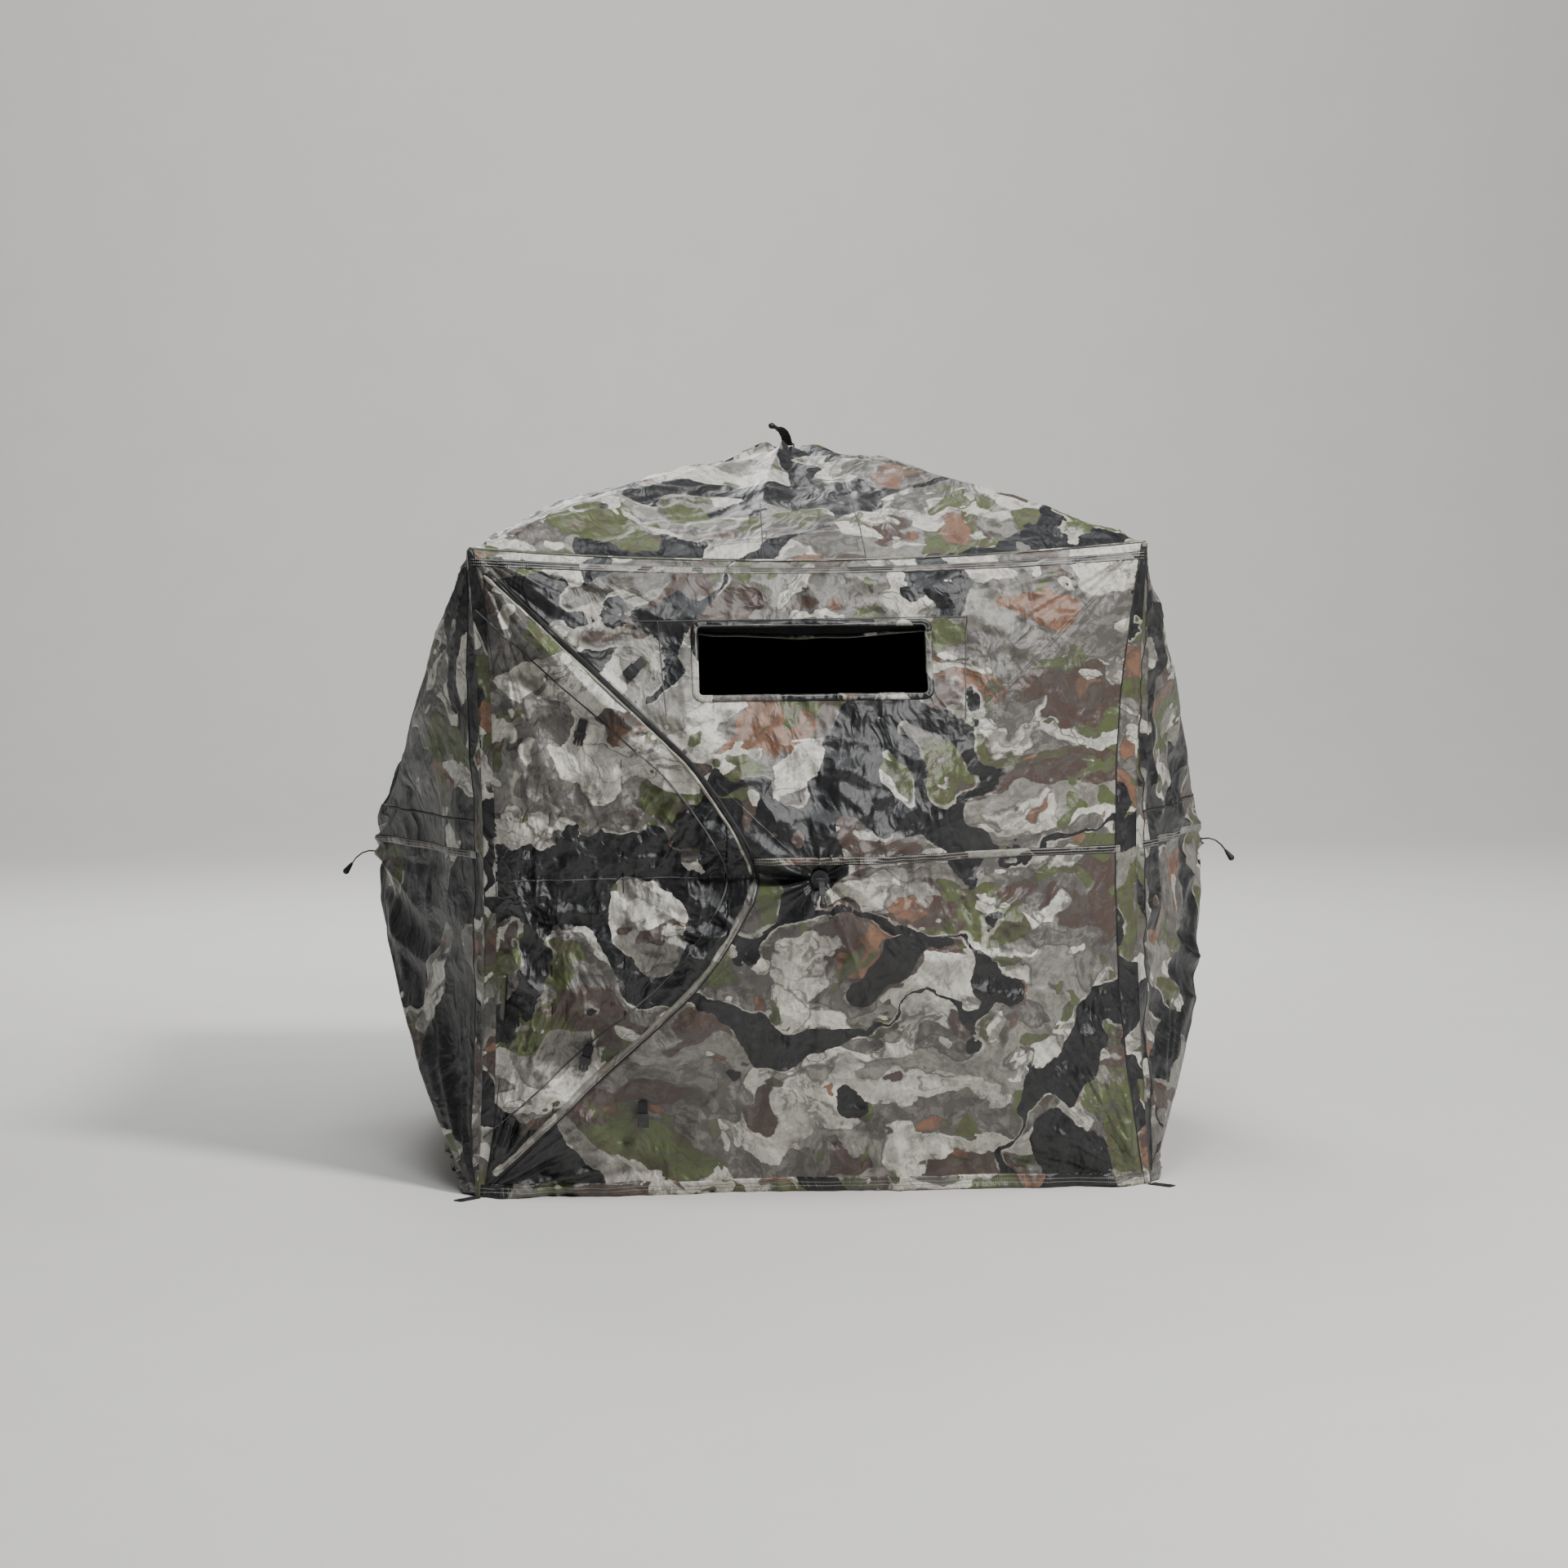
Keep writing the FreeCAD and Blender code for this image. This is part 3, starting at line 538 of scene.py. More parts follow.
def camo_cloth(name, seed, rows=(), bright=1.0, crumple=1.0, thread=(0.30, 0.29, 0.26), pale=0.0,
               black_past=None, dark=0.0, clear=None):
    """Coated camouflage fabric, with rows of stitching where it is a strip.

    pale mixes in cream, bright below 1 darkens it, and past the u and v of black_past it is black.
    """
    n = Nodes(name)
    place = n.vector("ADD", n.attribute("cloth"), (seed * 1.37, seed * 0.61, seed))
    colour, speck = camo_colour(n, place, dark, clear)
    if pale:
        colour = n.mix(pale, colour, CREAM)
    if black_past:
        across, up, _ = n.xyz(n.attribute("cloth"))
        beyond = n.math("GREATER_THAN", across, black_past[0])
        black = n.math("MULTIPLY", beyond, n.math("GREATER_THAN", up, black_past[1]))
        colour = n.mix(black, colour, (0.008, 0.008, 0.009))
    if bright != 1.0:
        colour = n.mix(1 - bright, colour, (0.0, 0.0, 0.0))
    small = n.noise(place, 30.0, 4.0, 0.60)
    shift = n.vector("SCALE", n.noise(place, 5.0, 2.0, 0.5, color=True), scale=0.22)
    wide = n.noise(n.vector("MULTIPLY", n.vector("ADD", place, shift), (1.0, 0.55, 1.0)), 13.0, 3.0, 0.5)
    crease = n.invert(n.math("MULTIPLY", n.off_middle(wide), 4.0))
    height = n.math("ADD", n.math("MULTIPLY", small, 0.5), crease)
    normal = n.bump(height, 0.010, 0.60 * crumple)
    normal = n.bump(weave(n, place), 0.0003, 0.25, normal)
    if rows:
        thread_on, groove = stitches(n, rows)
        # painted shade: each whole row of stitching is darkened toward black, standing for the shadow in the
        # groove that the thread pulls into the fabric
        colour = n.mix(n.math("MULTIPLY", groove, 0.45), colour, (0.03, 0.03, 0.03))
        colour = n.mix(n.math("MULTIPLY", thread_on, 0.85), colour, thread)
        normal = n.bump(n.math("SUBTRACT", n.math("MULTIPLY", thread_on, 1.4), groove), 0.0012, 0.9, normal)
    n.shader.inputs["Specular IOR Level"].default_value = 0.55
    return n.shaded(colour, n.math("MULTIPLY_ADD", speck, 0.18, 0.28), normal)


def dark_cloth(name, tone, rough, pitch=0.0012):
    """Black lining, curtain cloth, zip tape or thread."""
    n = Nodes(name)
    place = n.attribute("cloth")
    small = n.noise(place, 22.0, 4.0, 0.6)
    shade = n.mix(n.step(small, 0.35, 0.7), (tone, tone, tone * 1.05), (tone * 2.0, tone * 2.0, tone * 2.1))
    normal = n.bump(small, 0.010, 0.35)
    normal = n.bump(weave(n, place, pitch), 0.0004, 0.5, normal)
    return n.shaded(shade, n.math("MULTIPLY_ADD", small, 0.25, rough - 0.12), normal)


def moulded(name, tone, rough, grain=900.0):
    """Plastic, webbing, rod or metal with a fine grain and worn spots."""
    n = Nodes(name)
    place = n.add("ShaderNodeTexCoord").outputs["Object"]
    fine = n.noise(place, grain, 2.0, 0.5)
    worn = n.noise(place, 60.0, 4.0, 0.6)
    light = tuple(min(1.0, c * 1.9 + 0.004) for c in tone)
    colour = n.mix(n.step(worn, 0.48, 0.72), tone, light)
    roughness = n.math("MULTIPLY_ADD", worn, 0.25, rough - 0.12)
    return n.shaded(colour, roughness, n.bump(fine, 0.0004, 0.4))


BLACK_PATCH = (0.30, 0.555)  # the upper front part of the left wall is black, past this u and v
CAMO = {name: camo_cloth(f"camo_{name}", FACES[name].seed) for name in ("right", "back", "roof")}
CAMO["front"] = camo_cloth("camo_front", FACES["front"].seed, clear=FLAT_SPOTS[0])
CAMO["left"] = camo_cloth("camo_left", FACES["left"].seed, black_past=BLACK_PATCH, dark=0.025)
CAMO_DOOR = camo_cloth("camo_door", 31.0, crumple=1.5, dark=0.022)
CAMO_STRIP = camo_cloth("camo_corner_strip", 37.0)
TAPE_ROWS = (-0.006, 0.0, 0.006)  # where its stitching is, across a tape
CAMO_TAPE = camo_cloth("camo_tape", 43.0, rows=TAPE_ROWS, bright=0.60, dark=0.015, thread=(0.42, 0.41, 0.38))
CAMO_EDGE = camo_cloth("camo_edge", 49.0, rows=(-0.004, 0.004))
LINING = dark_cloth("black_lining", 0.006, 0.60)
BLACK_CLOTH = dark_cloth("curtain_black", 0.008, 0.66)
ZIP_TAPE = dark_cloth("zip_tape", 0.012, 0.55, pitch=0.0010)
SEAM = dark_cloth("dark_seam", 0.010, 0.50)
CAMO_BINDING = camo_cloth("camo_binding", 55.0, rows=(0.0035,), dark=0.030, bright=0.80)
CAMO_FLAP = camo_cloth("camo_flap", 61.0, rows=(-0.0035, 0.0045), pale=0.30)
THREAD = dark_cloth("stitch_thread", 0.060, 0.60)
WEBBING = moulded("strap_webbing", (0.012, 0.012, 0.013), 0.62, 500.0)
HUB_PLASTIC = moulded("hub_plastic", (0.014, 0.014, 0.015), 0.45)
BUCKLE_PLASTIC = moulded("buckle_plastic", (0.020, 0.020, 0.022), 0.24)
ROD = moulded("fibreglass_rod", (0.016, 0.016, 0.017), 0.32, 300.0)
ZIP_TEETH = moulded("zip_teeth", (0.035, 0.034, 0.033), 0.30, 1500.0)


# ---- fabric panels --------------------------------------------------------------------------------


def panel_uv(face, side, outer, ratio):
    """u, v from the distance outwards (0 to 1) and the place across the panel (-1 to 1)."""
    sign = -1 if side in (LEFT, BOTTOM) else 1
    if side in (LEFT, RIGHT):
        return sign * face.half_u * outer, face.half_v * outer * ratio
    return face.half_u * outer * ratio, sign * face.half_v * outer


# rows and columns in the mesh of one panel
DETAIL = {"front": (132, 221), "right": (92, 141), "back": (76, 111), "left": (92, 141), "roof": (92, 141)}


def cloth_place(u, v):
    return np.stack([u, v, np.zeros_like(u)], axis=1)


def panel_grid(face, side):
    """u, v and faces of a whole triangular panel, from the edge of the face to its hub."""
    rows, columns = DETAIL[face.name]
    outer, ratio = np.meshgrid(np.linspace(1, 0, rows)[:-1], np.linspace(-1, 1, columns), indexing="ij")
    u, v = panel_uv(face, side, outer.ravel(), ratio.ravel())
    faces = grid_faces(rows - 1, columns)
    last = (rows - 2) * columns
    faces += [(last + j, last + j + 1, len(u)) for j in range(columns - 1)]
    return np.append(u, 0.0), np.append(v, 0.0), faces


def fabric(name, face, u, v, faces):
    """A piece of a face's fabric, lined with black."""
    return add_object(name, skin(face, u, v), faces, [CAMO[face.name], LINING], cloth_place(u, v))


def plain_panel(face, side):
    u, v, faces = panel_grid(face, side)
    obj = fabric(f"{face.panel(side)}_cloth", face, u, v, faces)
    finish_panel(obj, face, side)


def finish_panel(obj, face, side):
    """Everything that a panel of this flat area needs besides its mesh."""
    outward(obj, face)
    thicken(obj)
    attach(obj, face, side)
    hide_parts(face.panel(side))


# ---- window ---------------------------------------------------------------------------------------

CURTAIN_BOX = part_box("window_curtain")
SLOPE = math.atan2(CROWN, B - BORDER)
CURTAIN_PAST = 0.022  # how far the curtain reaches past each side of the window
WINDOW_TOP, WINDOW_FOOT = 0.146, 0.308  # down the slope of the upper front panel


def down_slope(distance):
    """v of a place on the upper front panel, this far down its slope."""
    return B - BORDER - distance * math.cos(SLOPE)


def window_limits():
    """The window's sides in u and v of the front face."""
    u0, u1 = float(CURTAIN_BOX[0][0]) + CURTAIN_PAST, float(CURTAIN_BOX[1][0]) - CURTAIN_PAST
    return u0, u1, down_slope(WINDOW_FOOT), down_slope(WINDOW_TOP)


def window_panel():
    """The upper front panel, with the opening cut out on the flat before it is shaped."""
    face = FACES["front"]
    u, v, faces = panel_grid(face, TOP)
    mesh = bpy.data.meshes.new("flat")
    mesh.from_pydata([(x, y, 0) for x, y in zip(u, v)], [], faces)
    bm = bmesh.new()
    bm.from_mesh(mesh)
    u0, u1, v0, v1 = window_limits()

    def within(margin):
        middles = ((f, f.calc_center_median()) for f in bm.faces)
        return [f for f, middle in middles
                if u0 - margin < middle.x < u1 + margin and v0 - margin < middle.y < v1 + margin]

    cuts = [((at, 0, 0), (1, 0, 0)) for at in (u0, u1)] + [((0, at, 0), (0, 1, 0)) for at in (v0, v1)]
    for point, normal in cuts:
        near = within(0.02)
        parts = list(dict.fromkeys([x for f in near for x in (*f.edges, *f.verts)])) + near
        bmesh.ops.bisect_plane(bm, geom=parts, plane_co=point, plane_no=normal)
    bmesh.ops.delete(bm, geom=within(0.0), context="FACES")
    bmesh.ops.triangulate(bm, faces=[f for f in bm.faces if len(f.verts) > 4])
    bm.to_mesh(mesh)
    bm.free()
    flat = np.array([x.co for x in mesh.vertices])
    faces = [tuple(p.vertices) for p in mesh.polygons]
    bpy.data.meshes.remove(mesh)
    u, v = flat[:, 0], flat[:, 1]
    obj = fabric("front_panel_top_cloth", face, u, v, faces)
    finish_panel(obj, face, TOP)


# ---- strips laid on the fabric --------------------------------------------------------------------


def resample(path, step):
    """Points evenly spaced along a line through the path's points."""
    path = np.asarray(path, float)
    along = np.concatenate([[0], np.cumsum(np.linalg.norm(np.diff(path, axis=0), axis=1))])
    at = np.linspace(0, along[-1], max(2, int(along[-1] / step) + 1))
    return np.stack([np.interp(at, along, path[:, k]) for k in (0, 1)], axis=1), at


def directions(line, closed=False):
    """The directions ahead and to the left at each point of a line."""
    ahead = np.gradient(line, axis=0)
    if closed:
        ahead[0] = ahead[-1] = line[1] - line[-2]
    ahead /= np.linalg.norm(ahead, axis=1)[:, None]
    return ahead, np.stack([-ahead[:, 1], ahead[:, 0]], axis=1)


def ribbon(name, face, path, half, lift, material, step=0.008, rows=5, side_shift=0.0, edge_lift=0.0004,
           thick=0.0006, closed=False, seed=0.0, extra=None):
    """A strip sewn on the fabric along a path in u, v. half may change along the path."""
    line, along = resample(path, step)
    _, left = directions(line, closed)
    widths = half(along / along[-1]) if callable(half) else np.full(len(line), half)
    shares = np.linspace(-1, 1, rows)
    grid = line[:, None, :] + left[:, None, :] * (shares[None, :, None] * widths[:, None, None] + side_shift)
    rise = edge_lift + (lift - edge_lift) * (1 - np.abs(shares) ** 4)
    rise = np.tile(rise, len(line))
    u, v = grid[..., 0].ravel(), grid[..., 1].ravel()
    points = lifted(face, u, v, rise, extra)
    across = (shares[None, :] * widths[:, None]).ravel()
    run = np.stack([np.repeat(along, rows), across, np.zeros(len(u))], axis=1)
    cloth = cloth_place(u + seed, v)
    obj = add_object(name, points, grid_faces(len(line), rows), [material], cloth, run)
    outward(obj, face)
    thicken(obj, thick)
    return obj


def strip_half(share):
    """Half the width of a corner strip, from its foot, 0, to its top, 1."""
    return 0.006 + 0.026 * (1 - (2 * share - 1) ** 2)


def corner_strips():
    """A sewn strip down each side of each upright corner, widest at mid height, and its dark seam."""
    for face in WALLS:
        for side, sign in ((LEFT, -1), (RIGHT, 1)):
            heights = np.linspace(-1, 1, 60) * (face.half_v - 0.001)
            wide = strip_half((1 + heights / face.half_v) / 2)
            path = np.stack([sign * (face.half_u - wide + 0.002), heights], axis=1)
            strip = ribbon(f"{face.name}_corner_strip_{face.sides[side]}", face, path, strip_half, 0.0012,
                           CAMO_STRIP, rows=9, seed=face.seed)
            attach(strip, face, side)
            path = np.stack([sign * (face.half_u - 2 * wide + 0.002), heights], axis=1)
            seam = ribbon(f"{face.name}_corner_seam_{face.sides[side]}", face, path, 0.0016, 0.0022, SEAM,
                          rows=3)
            attach(seam, face, side)


EAVE_TAPE_DOWN = 0.027  # from the eave to the middle of the tape under it
HEM_UP = 0.016  # and from the foot to the middle of the hem


def level(at, start, end, count=90):
    """A level line across a face."""
    u = np.linspace(start, end, count)
    return np.stack([u, np.full_like(u, at)], axis=1)


def bands():
    """The stitched tape under the eave of each wall, the hem, and the seam round the roof."""
    reach = A - 0.004
    for face in WALLS:
        path = level(B - EAVE_TAPE_DOWN, -reach, reach, 80)
        tape = ribbon(f"{face.name}_eave_tape", face, path, 0.009, 0.0018, CAMO_TAPE, rows=7, seed=face.seed)
        attach(tape, face, TOP)
        path = level(-B + HEM_UP, -reach, reach, 80)
        hem = ribbon(f"{face.name}_hem", face, path, 0.0152, 0.0016, CAMO_EDGE, rows=7, seed=face.seed + 4)
        attach(hem, face, BOTTOM)
        if face.name == "front":
            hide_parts("shell_border")
    roof = FACES["roof"]
    for side, at in ((LEFT, -reach), (RIGHT, reach), (BOTTOM, -reach), (TOP, reach)):
        path = level(at, -reach, reach, 80)
        if side in (LEFT, RIGHT):
            path = path[:, ::-1]
        seam = ribbon(f"roof_seam_{roof.sides[side]}", roof, path, 0.0035, 0.0024, CAMO_EDGE, seed=2.0)
        attach(seam, roof, side)


# ---- seams and tapes that cross a face -------------------------------------------------------------


def side_at(face, u, v):
    """The panel that a place on a face belongs to."""
    if abs(u) / face.half_u > abs(v) / face.half_v:
        return RIGHT if u > 0 else LEFT
    return TOP if v > 0 else BOTTOM


def sewn_line(name, face, path, half, lift, material, **settings):
    """A ribbon that crosses ridges, cut at each ridge into one piece for each panel."""
    line, _ = resample(path, 0.006)
    sides = [side_at(face, *p) for p in line]
    start = 0
    for i in range(1, len(line) + 1):
        if i == len(line) or sides[i] != sides[start]:
            end = min(i + 1, len(line))
            if end - start > 2:
                label = f"{name}_{face.sides[sides[start]]}_{start}"
                piece = ribbon(label, face, line[start:end], half, lift, material, **settings)
                attach(piece, face, sides[start])
            start = i


TAPE_V = 0.038  # the tape round the shelter, above the middle of each wall
SEAM_V = 0.112  # and the seam above it


def tapes():
    """The stitched tape round the shelter at half height, and the seam above it on the other walls."""
    for face in WALLS:
        edge = face.half_u - 0.05
        start = DOOR_APEX - 0.002 if face.name == "front" else -edge
        sewn_line(f"{face.name}_mid_tape", face, level(TAPE_V, start, edge), 0.0085, 0.0026, CAMO_TAPE,
                  rows=7, seed=face.seed + 8)
        if face.name != "front":
            sewn_line(f"{face.name}_mid_seam", face, level(SEAM_V, -edge, edge), 0.0030, 0.0020, SEAM, rows=3)


WINDOW_SEAMS = {
    "seam_above": [(-0.385, 0.549), (0.335, 0.552)],
    "seam_left": [(-0.332, 0.549), (-0.318, 0.345)],
    "seam_right": [(0.335, 0.552), (0.322, 0.330)],
}


def stitching():
    """The rows of thread round the window and on the front of the roof."""
    for name, path in WINDOW_SEAMS.items():
        sewn_line(f"window_{name}", FACES["front"], path, 0.0011, 0.0014, THREAD, rows=3)
    for name, at, tall in (("left", -0.10, 0.30), ("right", 0.125, 0.46)):
        path = [(at, -A + 0.01), (at * 0.9, -A + tall)]
        sewn_line(f"roof_stitching_{name}", FACES["roof"], path, 0.0011, 0.0014, THREAD, rows=3)


# ---- window trim and curtain ----------------------------------------------------------------------


def rounded_loop(u0, u1, v0, v1, turn):
    """A closed rounded rectangle, anticlockwise."""
    left, right, low, high = u0 + turn, u1 - turn, v0 + turn, v1 - turn
    points = []
    for cu, cv, first in ((right, low, -90), (right, high, 0), (left, high, 90), (left, low, 180)):
        for k in range(11):
            angle = math.radians(first + 9 * k)
            points.append((cu + turn * math.cos(angle), cv + turn * math.sin(angle)))
    return points + points[:1]


def window_binding():
    """The bound edge of the window, outside and inside."""
    front = FACES["front"]
    u0, u1, v0, v1 = window_limits()
    out = 0.004
    loop = rounded_loop(u0 - out, u1 + out, v0 - out, v1 + out, 0.015)
    shape = {"closed": True, "step": 0.004, "thick": 0.0012}
    binding = ribbon("window_binding", front, loop, 0.0075, 0.0030, CAMO_BINDING, rows=7, seed=3.0, **shape)
    attach(binding, front, TOP)
    inner = ribbon("window_binding_inside", front, loop, 0.0078, -0.0030, LINING, edge_lift=-0.001, **shape)
    attach(inner, front, TOP)


def on_curtain(obj):
    """Finishes a piece that slides with the curtain."""
    outward(obj, FACES["front"])
    thicken(obj, 0.0008)
    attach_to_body(obj, "window_curtain")


def curtain():
    """The black curtain that hangs behind the top of the window."""
    front = FACES["front"]
    u0, u1 = float(CURTAIN_BOX[0][0]) + 0.004, float(CURTAIN_BOX[1][0]) - 0.004
    top, foot = down_slope(0.020), down_slope(0.172)
    rows, columns = 34, 130
    down, across = np.meshgrid(np.linspace(0, 1, rows), np.linspace(0, 1, columns), indexing="ij")
    down, across = down.ravel(), across.ravel()
    droop = 0.013 * 4 * across * (1 - across) - 0.010 + 0.003 * noise(across * 9, 4.4)
    u = u0 + (u1 - u0) * across
    v = top + (foot - droop - top) * down
    flutter = 0.0022 * noise(across * 14 + 0.6 * noise(down * 2, 8.1), down * 1.2, 6.0) * down
    points = lifted(front, u, v, -0.010 + flutter, folded=False)
    cloth = cloth_place(u, v)
    obj = add_object("window_curtain_cloth", points, grid_faces(rows, columns), [BLACK_CLOTH], cloth)
    on_curtain(obj)
    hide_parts("window_curtain")
    edge = np.arange((rows - 1) * columns, rows * columns)
    curtain_edging(u[edge], v[edge], flutter[edge])


def curtain_edging(u, v, flutter):
    """The camouflage edging along the curtain's foot."""
    shares = np.linspace(-1, 1, 5)
    half = 0.0045
    rise = np.tile(0.0014 * (1 - shares**4), len(u)) + np.repeat(flutter - 0.0095, 5)
    uu, vv = np.repeat(u, 5), (v[:, None] + half + half * shares[None, :]).ravel()
    points = lifted(FACES["front"], uu, vv, rise, folded=False)
    run = np.stack([uu, np.tile(shares * half, len(u)), np.zeros(len(uu))], axis=1)
    faces = grid_faces(len(u), 5)
    obj = add_object("window_curtain_edging", points, faces, [CAMO_EDGE], cloth_place(uu, vv), run)
    on_curtain(obj)


# ---- door -----------------------------------------------------------------------------------------

DOOR_APEX = -0.134  # u of the zip's furthest point
ZIP_ROUND = 0.160  # how far from there the zip has curved to the ridge's slope
ZIP_FROM_RIDGE = 0.014  # how far below or above the ridge it runs
DOOR_LIFT = 0.0015  # how far the door lies out from the fabric round it


def zip_height(u):
    """How far above and below the middle the zip runs at u."""
    x = np.clip(np.abs(u) - abs(DOOR_APEX), 0, None)
    bend = np.sqrt(1 - (1 - np.clip(x / ZIP_ROUND, 0, 1)) ** 2)
    return (B * np.abs(u) / A - ZIP_FROM_RIDGE) * bend


def zip_stations(start, count=40):
    """u of the samples from start to the zip's furthest point, close together where it turns."""
    turn = DOOR_APEX - ZIP_ROUND * (1 - np.cos(np.linspace(math.pi / 2, 0, 46)))
    straight = np.linspace(start, DOOR_APEX - ZIP_ROUND, count)[:-1]
    return np.concatenate([straight, turn])


def zip_path(part="whole"):
    """The zip's line from the upper corner round to the lower one, or one half of it."""
    u = zip_stations(HINGE_U + 0.004, 70)
    upper = np.stack([u, zip_height(u)], axis=1)
    lower = np.stack([u, -zip_height(u)], axis=1)[::-1]
    return {"upper": upper, "lower": lower, "whole": np.concatenate([upper, lower[1:]])}[part]


def door_folds(u, v):
    """The crumpled fabric of the door, with folds from its two corners: it hangs looser than the walls."""
    high = zip_height(u)
    rim = smooth(np.clip(high - np.abs(v), 0, None) / 0.05) * smooth((u - HINGE_U) / 0.05)
    along, down, up = u - HINGE_U, v - B * 0.93, v + B * 0.93
    far, turn = np.hypot(along, down), np.arctan2(down, along)
    rays = creases(turn * 7.5, far * 1.6, 3.3) * smooth(far / 0.12) * np.exp(-far / 0.55)
    fine = creases(turn * 24, far * 1.3, 6.1) * smooth(far / 0.10) * np.exp(-far / 0.60)
    foot = np.hypot(along, up)
    foot_rays = creases(np.arctan2(up, along) * 7.0, foot * 1.8, 8.8) * np.exp(-foot / 0.42)
    warp = noise(u * 4.1, v * 4.1, 2.7)
    out = 0.0180 * rays + 0.0140 * foot_rays + 0.0075 * fine
    out = out + crumple(u, v, warp, 5.9, DOOR_CREASES)
    out = out - 0.006 * smooth((HINGE_U + 0.30 - u) / 0.30) * (1 - (v / B) ** 2)
    return rim * off_spots(u, v) * (out + 0.003) + DOOR_LIFT * off_spots(u, v)


def door_surround():
    """The fixed fabric round the door: beside the corner, along both ridges and next to the hub."""
    face, side = FACES["front"], LEFT
    _, columns = DETAIL["front"]
    inner = HINGE_U + 0.012
    outer = np.linspace(1, -inner / A, 12)
    share, ratio = np.meshgrid(outer, np.linspace(-1, 1, columns), indexing="ij")
    u, v = panel_uv(face, side, share.ravel(), ratio.ravel())
    faces = grid_faces(len(outer), columns)
    columns = 22
    for up in (1, -1):
        strip_u = np.unique(np.concatenate([zip_stations(inner), np.linspace(inner, DOOR_APEX, 110)]))
        hub_u = np.linspace(DOOR_APEX, 0, 34)[1:]
        all_u = np.concatenate([strip_u, hub_u])
        low = np.where(all_u <= DOOR_APEX, zip_height(all_u) + 0.002 * (all_u < DOOR_APEX - 1e-6), 0.0)
        high = B * np.abs(all_u) / A
        start = len(u)
        share = np.linspace(0, 1, columns)
        grid_v = low[:, None] + (high - low)[:, None] * share[None, :]
        u = np.concatenate([u, np.repeat(all_u, columns)])
        v = np.concatenate([v, up * grid_v.ravel()])
        faces += grid_faces(len(all_u), columns, start, flip=up < 0)
    obj = fabric("front_panel_left_cloth", face, u, v, faces)
    weld(obj)
    thicken(obj)
    attach(obj, face, side)
    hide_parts("front_panel_left")


def weld(obj):
    """Joins the parts of the fixed fabric where they meet."""
    bm = bmesh.new()
    bm.from_mesh(obj.data)
    bmesh.ops.remove_doubles(bm, verts=bm.verts, dist=0.00005)
    bmesh.ops.dissolve_degenerate(bm, dist=0.00002, edges=bm.edges)
    bmesh.ops.recalc_face_normals(bm, faces=bm.faces)
    bm.to_mesh(obj.data)
    bm.free()
    outward(obj, FACES["front"])


def door_blend(obj):
    """A piece on the door: bakes its place into its mesh."""
    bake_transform(obj)


def door():
    """The door's fabric, from just past its sewn edge to the zip."""
    face = FACES["front"]
    start = HINGE_U - 0.004
    u_line = np.unique(np.concatenate([zip_stations(start, 90), np.linspace(start, DOOR_APEX, 150)]))
    ratio = np.linspace(-1, 1, 241)
    high = np.where(u_line <= DOOR_APEX, zip_height(u_line), 0.0) - 0.001
    high = np.clip(high, 0.0005, None)
    u, v = np.repeat(u_line, len(ratio)), (high[:, None] * ratio[None, :]).ravel()
    points = skin(face, u, v, door_folds)
    obj = add_object("door_cloth", points, grid_faces(len(u_line), len(ratio)), [CAMO_DOOR, LINING],
                     cloth_place(u + 4.0, v))
    outward(obj, face)
    thicken(obj)
    door_blend(obj)
    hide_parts("door")
    door_trim()


def door_trim():
    """Storm flap, upper fold, inner seam and cross seam, all sewn on the door."""
    face = FACES["front"]
    door_blend(ribbon("door_storm_flap", face, zip_path("lower"), 0.0085, 0.0050, CAMO_FLAP, rows=7,
                      side_shift=-0.004, seed=12.0, edge_lift=0.0020, thick=0.0010))
    door_blend(ribbon("door_upper_fold", face, zip_path("upper"), 0.0040, 0.0052, CAMO_FLAP,
                      side_shift=-0.008, seed=15.0, edge_lift=0.0012, thick=0.0010))
    inner = [(u * 0.985 - 0.06, v * 0.90) for u, v in zip_path() if u > HINGE_U + 0.02]
    cross = [(HINGE_U + 0.03, -0.012), (-0.42, -0.004), (DOOR_APEX - 0.075, 0.002)]
    for name, path, half, lift in (("inner", inner, 0.0016, 0.0028), ("cross", cross, 0.0013, 0.0018)):
        door_blend(ribbon(f"door_{name}_seam", face, smooth_path(path), half, lift, THREAD, rows=3,
                          extra=door_folds))


def smooth_path(points):
    """The same line with its corners rounded."""
    line, _ = resample(points, 0.01)
    for _ in range(3):
        line[1:-1] = (line[:-2] + 2 * line[1:-1] + line[2:]) / 4
    return line


def zipper():
    """The zip: a tape on each side and the two rows of teeth."""
    face = FACES["front"]
    strips = [
        ribbon("zip_tape_fixed", face, zip_path(), 0.0038, 0.0012, ZIP_TAPE, side_shift=0.0042, thick=0.0010),
        ribbon("zip_tape_door", face, zip_path(), 0.0038, 0.0030, ZIP_TAPE, side_shift=-0.0040, thick=0.0010),
    ]
    rows = [teeth("zip_teeth_fixed", 0.0010, 0.5), teeth("zip_teeth_door", -0.0010, 0.0)]
    for fixed, moving in (strips, rows):
        attach(fixed, face, LEFT)
        door_blend(moving)


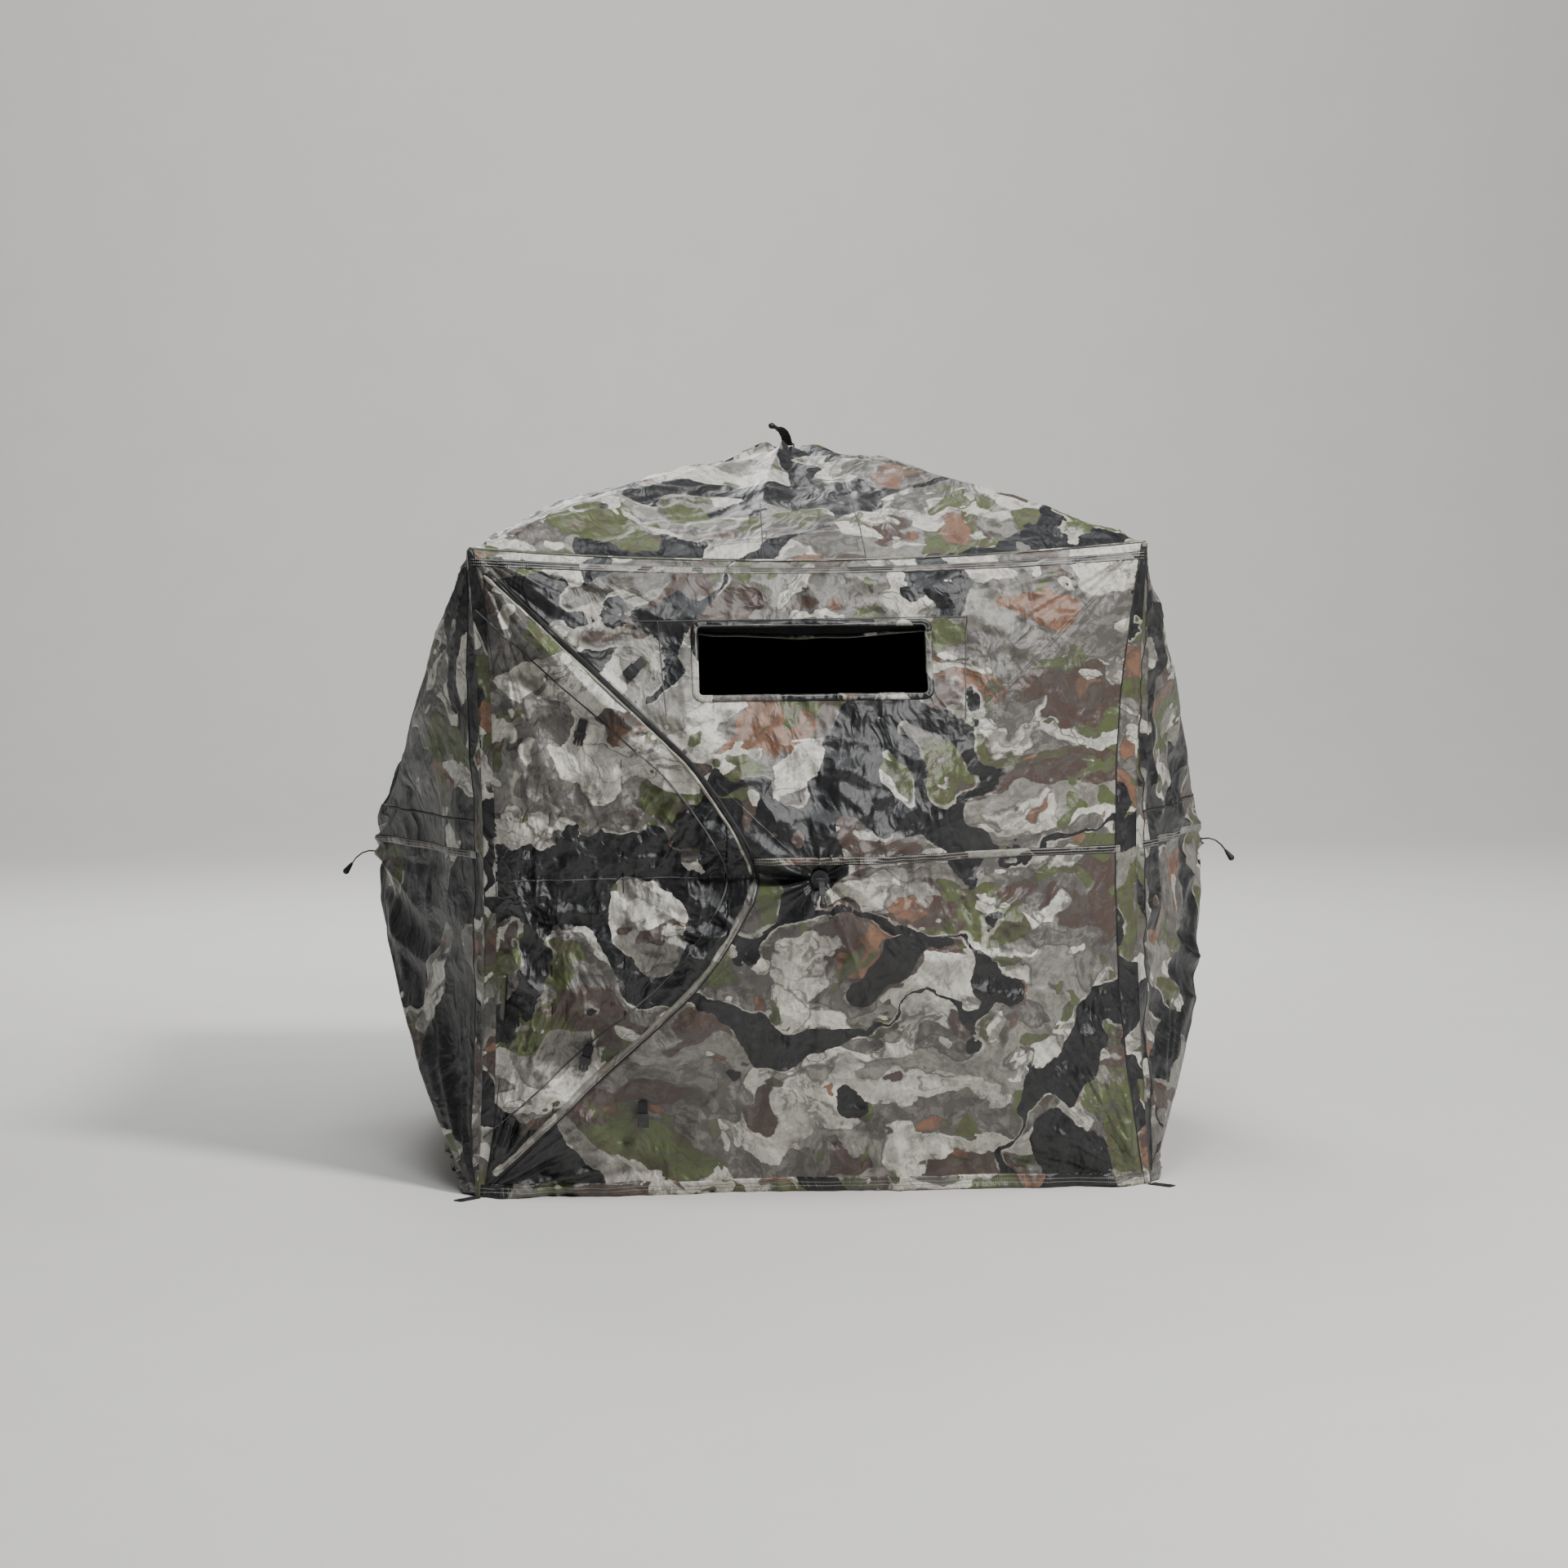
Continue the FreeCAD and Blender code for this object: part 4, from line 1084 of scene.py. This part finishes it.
def teeth(name, shift, phase):
    """One row of moulded teeth, 3.2 mm apart, along the zip."""
    pitch = 0.0032
    line, _ = resample(zip_path(), pitch)
    ahead, left = directions(line)
    middle = line + ahead * pitch * phase + left * shift
    tooth = np.array([(x * across, y * along_zip, up)
                      for across, along_zip, up in ((0.0021, 0.0009, 0.0), (0.0015, 0.0006, 0.0022))
                      for x, y in ((-1, -1), (1, -1), (1, 1), (-1, 1))])
    quads = [(0, 3, 2, 1), (4, 5, 6, 7), (0, 1, 5, 4), (1, 2, 6, 5), (2, 3, 7, 6), (3, 0, 4, 7)]
    uv = middle[:, None] + left[:, None] * tooth[:, :1] + ahead[:, None] * tooth[:, 1:2]
    rise = np.tile(0.0030 + tooth[:, 2], len(middle))
    points = lifted(FACES["front"], uv[..., 0].ravel(), uv[..., 1].ravel(), rise)
    faces = [tuple(8 * k + corner for corner in quad) for k in range(len(middle)) for quad in quads]
    return add_object(name, points, faces, [ZIP_TEETH], flat_shade=True)


# ---- the CAD's own parts ---------------------------------------------------------------------------


def loose_parts(mesh):
    """The number of the separate piece that each face of a mesh belongs to."""
    places, parent = {}, []

    def top(k):
        while parent[k] != k:
            k = parent[k]
        return k

    at = []
    for vertex in mesh.vertices:
        key = tuple(round(c, 6) for c in vertex.co)
        if key not in places:
            places[key] = len(parent)
            parent.append(len(parent))
        at.append(places[key])
    for face in mesh.polygons:
        first = top(at[face.vertices[0]])
        for k in face.vertices[1:]:
            parent[top(at[k])] = first
    return [top(at[face.vertices[0]]) for face in mesh.polygons]


def thinnest(mesh, parts, part):
    """The extent of one separate piece of a mesh along its own thinnest axis."""
    own = {k for face, p in zip(mesh.polygons, parts) if p == part for k in face.vertices}
    points = np.array([mesh.vertices[k].co for k in own])
    points = points - points.mean(axis=0)
    _, _, axes = np.linalg.svd(points, full_matrices=False)
    return float(np.ptp(points @ axes[-1]))


BUCKLE_WEBBING = 0.002  # pieces of a buckle that are thinner than this are its webbing


def webbing_and_plastic(obj, plastic, limit):
    """Webbing on the pieces of a part that are thinner than the limit, and plastic on the others.

    Without a limit, the piece with the most faces is the moulded one.
    """
    mesh = obj.data
    mesh.materials.clear()
    mesh.materials.append(plastic)
    mesh.materials.append(WEBBING)
    parts = loose_parts(mesh)
    kinds = sorted(set(parts), key=parts.count)
    cloth = [p for p in kinds if thinnest(mesh, parts, p) < limit] if limit else kinds[:-1]
    for face, part in zip(mesh.polygons, parts):
        face.material_index = int(part in cloth)


def cad_materials():
    """Materials for the CAD nodes that stay in sight."""
    by_part = {
        "_hub": HUB_PLASTIC,
        "_pole_": ROD,
        "corner_gussets": WEBBING,
        "stake_loops": WEBBING,
        "zip_slider": ZIP_TEETH,
    }
    for name, obj in frame["nodes"].items():
        if obj.hide_render:
            continue
        if "buckle" in name:
            webbing_and_plastic(obj, BUCKLE_PLASTIC, BUCKLE_WEBBING)
        elif "_pull_strap" in name:
            webbing_and_plastic(obj, HUB_PLASTIC, None)
        for key, material in by_part.items():
            if key in name:
                obj.data.materials.clear()
                obj.data.materials.append(material)


# ---- camera, light and floor ----------------------------------------------------------------------


def camera():
    """The camera at the photograph's place and angle."""
    data = bpy.data.cameras.new("camera")
    data.lens, data.sensor_width, data.clip_end = 79.6, 36.0, 100.0
    obj = placed("camera", data)
    eye = Vector((-0.50, -8.25, 1.328))
    yaw, pitch, roll = (math.radians(x) for x in (-3.35, 3.31, -0.6))
    ahead = Vector((-math.sin(yaw) * math.cos(pitch), math.cos(yaw) * math.cos(pitch), -math.sin(pitch)))
    obj.location = eye
    obj.rotation_euler = ahead.to_track_quat("-Z", "Y").to_euler()
    obj.rotation_euler.rotate_axis("Z", roll)
    bpy.context.scene.camera = obj


def light(name, at, size, power, tint=(1, 1, 1), aim=(0, 0, 0.7)):
    data = bpy.data.lights.new(name, "AREA")
    data.shape, data.size, data.energy, data.color = "DISK", size, power, tint
    obj = placed(name, data)
    obj.location = at
    obj.rotation_mode = "QUATERNION"
    obj.rotation_quaternion = (Vector(aim) - Vector(at)).to_track_quat("-Z", "Y")


def studio():
    light("key", (3.2, -4.7, 6.4), 1.2, 700, (1.0, 0.985, 0.96))
    light("sky", (-0.6, -2.6, 8.6), 4.2, 330, (0.95, 0.98, 1.0))
    light("rim", (-1.5, 6.0, 5.5), 3.0, 200)
    light("backdrop", (0, 3.5, 8.5), 5.0, 900, aim=(0, 13.0, 4.0))
    world = bpy.data.worlds.new("studio")
    bpy.context.scene.world = world
    world.use_nodes = True
    world.node_tree.nodes["Background"].inputs["Color"].default_value = (0.88, 0.90, 0.94, 1)
    world.node_tree.nodes["Background"].inputs["Strength"].default_value = 0.10


def floor():
    """A pale sheet that runs along the ground and curves up behind the object."""
    wide, front_edge, bend_at, turn, top = 26.0, -14.0, 9.0, 5.0, 16.0
    profile = [(front_edge, 0.0)]
    for k in range(25):
        angle = math.pi / 2 * k / 24
        profile.append((bend_at + turn * math.sin(angle), turn * (1 - math.cos(angle))))
    profile.append((bend_at + turn, top))
    points = [(x, y, z) for y, z in profile for x in (-wide, wide)]
    obj = add_object("floor", points, grid_faces(len(profile), 2), [])
    n = Nodes("floor_paper")
    place = n.add("ShaderNodeTexCoord").outputs["Object"]
    tone = n.mix(n.noise(place, 3.0, 3.0), (0.66, 0.65, 0.63), (0.70, 0.69, 0.67))
    n.put(n.shader.inputs["Base Color"], tone)
    n.shader.inputs["Roughness"].default_value = 0.9
    obj.data.materials.append(n.material)


# ---- everything -----------------------------------------------------------------------------------


def build_panels():
    for face in FACES.values():
        for side in range(4):
            if face.name == "front" and side in (LEFT, TOP):
                continue
            plain_panel(face, side)
    window_panel()
    door_surround()
    door()
    zipper()
    window_binding()
    curtain()


camera()
studio()
floor()
build_panels()
corner_strips()
bands()
tapes()
stitching()
cad_materials()
